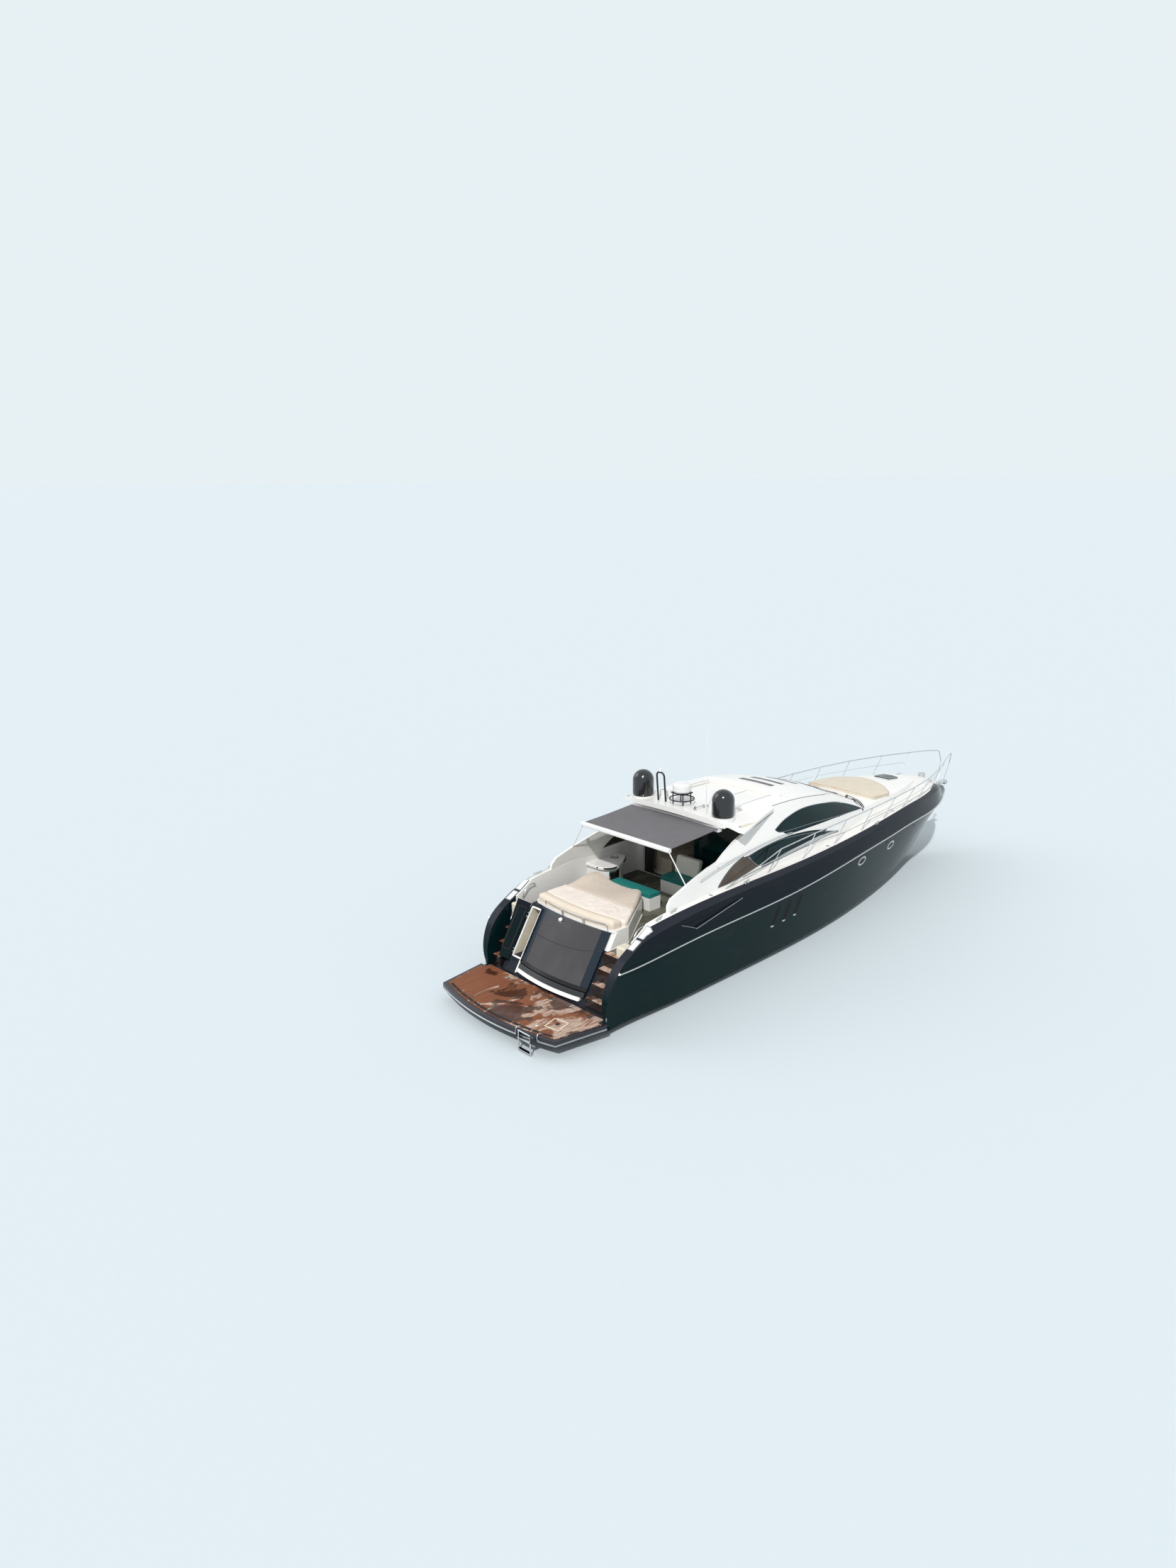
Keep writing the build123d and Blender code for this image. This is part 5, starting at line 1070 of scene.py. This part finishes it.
def roof_details():
    """slots, seams, the winglets' lamps with their hoods, and the horn"""
    slots, seams, lamps, hoods, horn = (Form() for _ in range(5))
    for x, wide, half in ((-0.52, 0.10, 0.56), (-0.04, 0.09, 0.54), (0.62, 0.07, 0.52)):
        corners = over_roof([(x - wide, -half), (x + wide, -half), (x + wide, half), (x - wide, half)])
        slots.patch(straight(corners, 0.08, True), rooftop, DOWN, 0.005, levels=2)
    slots.make("roof_slots", "slot_grey")
    edge = [(-1.84, 1.57), (-1.0, 1.545), (-0.2, 1.50), (0.49, 1.437), (1.08, 1.34)]
    for side in SIDES:
        seams.trim(rooftop, smooth(over_roof([(x, side * y) for x, y in edge]), 10), DOWN, 0.012, 0.003)
    for y in (-1.08, 1.08):
        seams.trim(rooftop, straight(over_roof([(-2.92, y), (-1.25, y)])), DOWN, 0.010, 0.003)
    seams.make("roof_seams", "rubber")
    middle = straight(over_roof([(-1.86, -0.30), (-1.32, -0.30)]))
    seam = Form().trim(tree_of("sunroof_panel"), middle, DOWN, 0.012, 0.003)
    seam.make("sunroof_seam", "rubber", "sunroof_panel")
    lamp_y, half_long, half_wide = 1.93, 0.34, 0.055
    for side in SIDES:
        spots, ups = cast(rooftop, over_roof([(-3.60, side * lamp_y)]), DOWN)
        lamps.turn([(0, -0.01), (0.035, -0.01), (0.035, 0.02), (0.02, 0.035), (0, 0.04)], spots[0], ups[0], 20)
        # a drop that narrows forward
        drop = []
        for along, beside in ellipse((0, 0), (half_long, 0), (0, half_wide), 28):
            narrow = 1 - 0.7 * (along + half_long) / (2 * half_long)
            drop.append((-3.30 + along, side * (lamp_y + beside * narrow)))
        hoods.patch(over_roof(drop), rooftop, DOWN, 0.003, levels=2)
    hoods.make("lamp_hoods", "cream")
    lamps.make("winglet_lamps", "stainless")
    spots, _ = cast(rooftop, over_roof([(-3.45, -0.62), (-3.30, -0.62)]), DOWN)
    for spot in spots:
        horn.turn([(0, -0.01), (0.028, -0.01), (0.022, 0.01), (0.012, 0.05), (0, 0.05)], spot, UP, 16)
    trumpet = [(0, -0.02), (0.03, -0.02), (0.03, 0.03), (0.012, 0.06), (0.013, 0.26), (0.02, 0.31), (0.045, 0.36),
               (0.047, 0.36), (0.02, 0.30), (0, 0.28)]
    horn.turn(trumpet, spots[0] + UP * 0.065, (-1, 0, 0.03), 20)
    horn.make("horn", "stainless")


def front_details():
    """wipers, and frames round the windscreen and the deck hatch"""
    wipers = Form()
    blade_section = [(-0.008, -0.014), (0.008, -0.014), (0.005, 0.014), (-0.005, 0.014)]
    for inner, outer in ((0.62, 1.62), (-0.62, -1.62)):
        middle = (inner + outer) / 2
        pivot = cast(cabin_glass, [(3.02, inner, 3.3)], DOWN)[0][0]
        wipers.turn([(0, -0.01), (0.04, -0.01), (0.03, 0.04), (0, 0.05)], pivot, UP, 16)
        arm = smooth([(3.02, inner, 3.5), (2.84, middle, 3.5), (2.70, outer * 0.86, 3.5)])
        blade = straight([(2.78, middle * 0.86, 3.5), (2.62, outer * 0.97, 3.5)], 0.08)
        for line, off, section in ((arm, 0.035, flat(0.012, 0.007)), (blade, 0.014, blade_section)):
            spots, ups = cast(cabin_glass, line, DOWN)
            wipers.sweep([p + up * off for p, up in zip(spots, ups)], section, ups)
    wipers.make("wipers", "rubber")
    screens = frame_round("windscreen", (0.5, 0, 1), 0.022, 0.006, cabin_glass, 0.2)
    screens.make("windscreen_frames", "rubber")
    rim = frame_round("deck_hatch", UP, 0.02, 0.005, tree_of("deck_hatch"), 0.7)
    rim.make("deck_hatch_rim", "stainless", "deck_hatch")


# Wet bar and the deck's small fittings
def wet_bar_details():
    """a dark edge round the bar's front, the sink and the fridge's door"""
    front = smooth([(-5.11, 1.62, 0), (-4.99, 1.37, 0), (-4.74, 1.28, 0), (-4.22, 1.48, 0), (-3.94, 1.70, 0)])
    middle = Vector((-4.5, 1.75, 0))
    path = [p.lerp(middle, -0.006 / max((p - middle).length, 0.1)) + UP * 2.295 for p in front]
    section = [(-0.004, -0.022), (0.006, -0.022), (0.006, 0.022), (-0.004, 0.022)]
    Form().sweep(path, section, UP).make("bar_edge", "rubber")
    around = ellipse((-4.28, 1.80, 2.6), (0.13, 0, 0), (0, 0.10, 0), 28)
    sink = Form().trim(bar_tree, around, DOWN, 0.02, 0.008, closed=True)
    sink.patch(around, bar_tree, DOWN, 0.001, levels=2).make("bar_sink", "stainless")
    to_port = (0, 1, 0)
    spots, _ = cast(bar_tree, [(-4.70, 1.0, 1.95)], to_port)
    y = spots[0].y - 0.3
    for name, look, less, lift in (
        ("fridge_frame", "stainless", 0.0, 0.004), ("fridge_door", "black_gloss", 0.035, 0.008),
    ):
        x0, x1, z0, z1 = -4.88 + less, -4.52 - less, 1.69 + less, 2.19 - less
        outline = straight([(x0, y, z0), (x1, y, z0), (x1, y, z1), (x0, y, z1)], 0.04, True)
        Form().patch(outline, bar_tree, to_port, lift, levels=3).make(name, look)


def deck_fittings():
    """filler caps and scuppers"""
    caps, scuppers = Form(), Form()
    disc = [(0, -0.004), (0.05, -0.004), (0.05, 0.005), (0.042, 0.008), (0, 0.008)]
    for side in SIDES:
        for x, y in ((0.1, 2.02), (3.9, 1.66), (-4.9, 2.14)):
            spots, ups = cast(shell, [(x, side * y, 3.0)], DOWN, 1.4)
            caps.turn(disc, spots[0], ups[0], 24)
        for x in (-1.6, 0.9, 3.2, 5.2):
            outline = ellipse((x, side * 2.3, 1.86 + 0.02 * (x + 1.6) / 4), (0.09, 0, 0), (0, 0, 0.02), 20)
            scuppers.patch(outline, topsides, (0, -side, 0), 0.003, levels=2)
    caps.make("filler_caps", "stainless")
    scuppers.make("scuppers", "rubber")


for details in (
    hull_ports, hull_trim, fittings, mid_rail, platform_details, transom_details, hatch_details, stern_details,
    sunpads, settee, foredeck_pad, awning, glass_frames, cabin_rails, roof_details, front_details,
    wet_bar_details, deck_fittings,
):
    details()


# Stage: floor at the waterline, world and lamps
def make_stage():
    mesh = bpy.data.meshes.new("floor")
    reach = 2000
    corners = [(-reach, -reach, 0), (reach, -reach, 0), (reach, reach, 0), (-reach, reach, 0)]
    mesh.from_pydata(corners, [], [(0, 1, 2, 3)])
    floor = bpy.data.objects.new("floor", mesh)
    scene.collection.objects.link(floor)
    mesh.materials.append(Shader("floor", (0.60, 0.66, 0.68), 0.85, specular=0.2).material)

    world = bpy.data.worlds.new("studio")
    scene.world = world
    world.use_nodes = True
    tree = world.node_tree
    # camera, glossy and transmission rays see it pale like the floor
    lit, pale = tree.nodes["Background"], tree.nodes.new("ShaderNodeBackground")
    for background, colour, strength in ((lit, (0.84, 0.88, 0.92, 1), 0.75), (pale, (0.80, 0.87, 0.90, 1), 1.0)):
        background.inputs["Color"].default_value = colour
        background.inputs["Strength"].default_value = strength
    ray = tree.nodes.new("ShaderNodeLightPath")
    share = tree.nodes.new("ShaderNodeMixShader")
    seen = ray.outputs["Is Camera Ray"]
    for kind in ("Is Glossy Ray", "Is Transmission Ray"):
        either = tree.nodes.new("ShaderNodeMath")
        either.operation = "MAXIMUM"
        tree.links.new(seen, either.inputs[0])
        tree.links.new(ray.outputs[kind], either.inputs[1])
        seen = either.outputs[0]
    for socket, source in enumerate((seen, lit.outputs[0], pale.outputs[0])):
        tree.links.new(source, share.inputs[socket])
    tree.links.new(share.outputs[0], tree.nodes["World Output"].inputs["Surface"])

    for name, place, energy, size in (("sun", (-20, -14, 24), 2.6, 0.03), ("fill", (-10, 20, 14), 0.4, 0.6)):
        data = bpy.data.lights.new(name, "SUN")
        data.energy, data.angle = energy, size
        lamp = bpy.data.objects.new(name, data)
        lamp.location = place
        lamp.rotation_euler = (-Vector(place)).to_track_quat("-Z", "Y").to_euler()
        scene.collection.objects.link(lamp)


make_stage()
scene.view_settings.view_transform = "Standard"
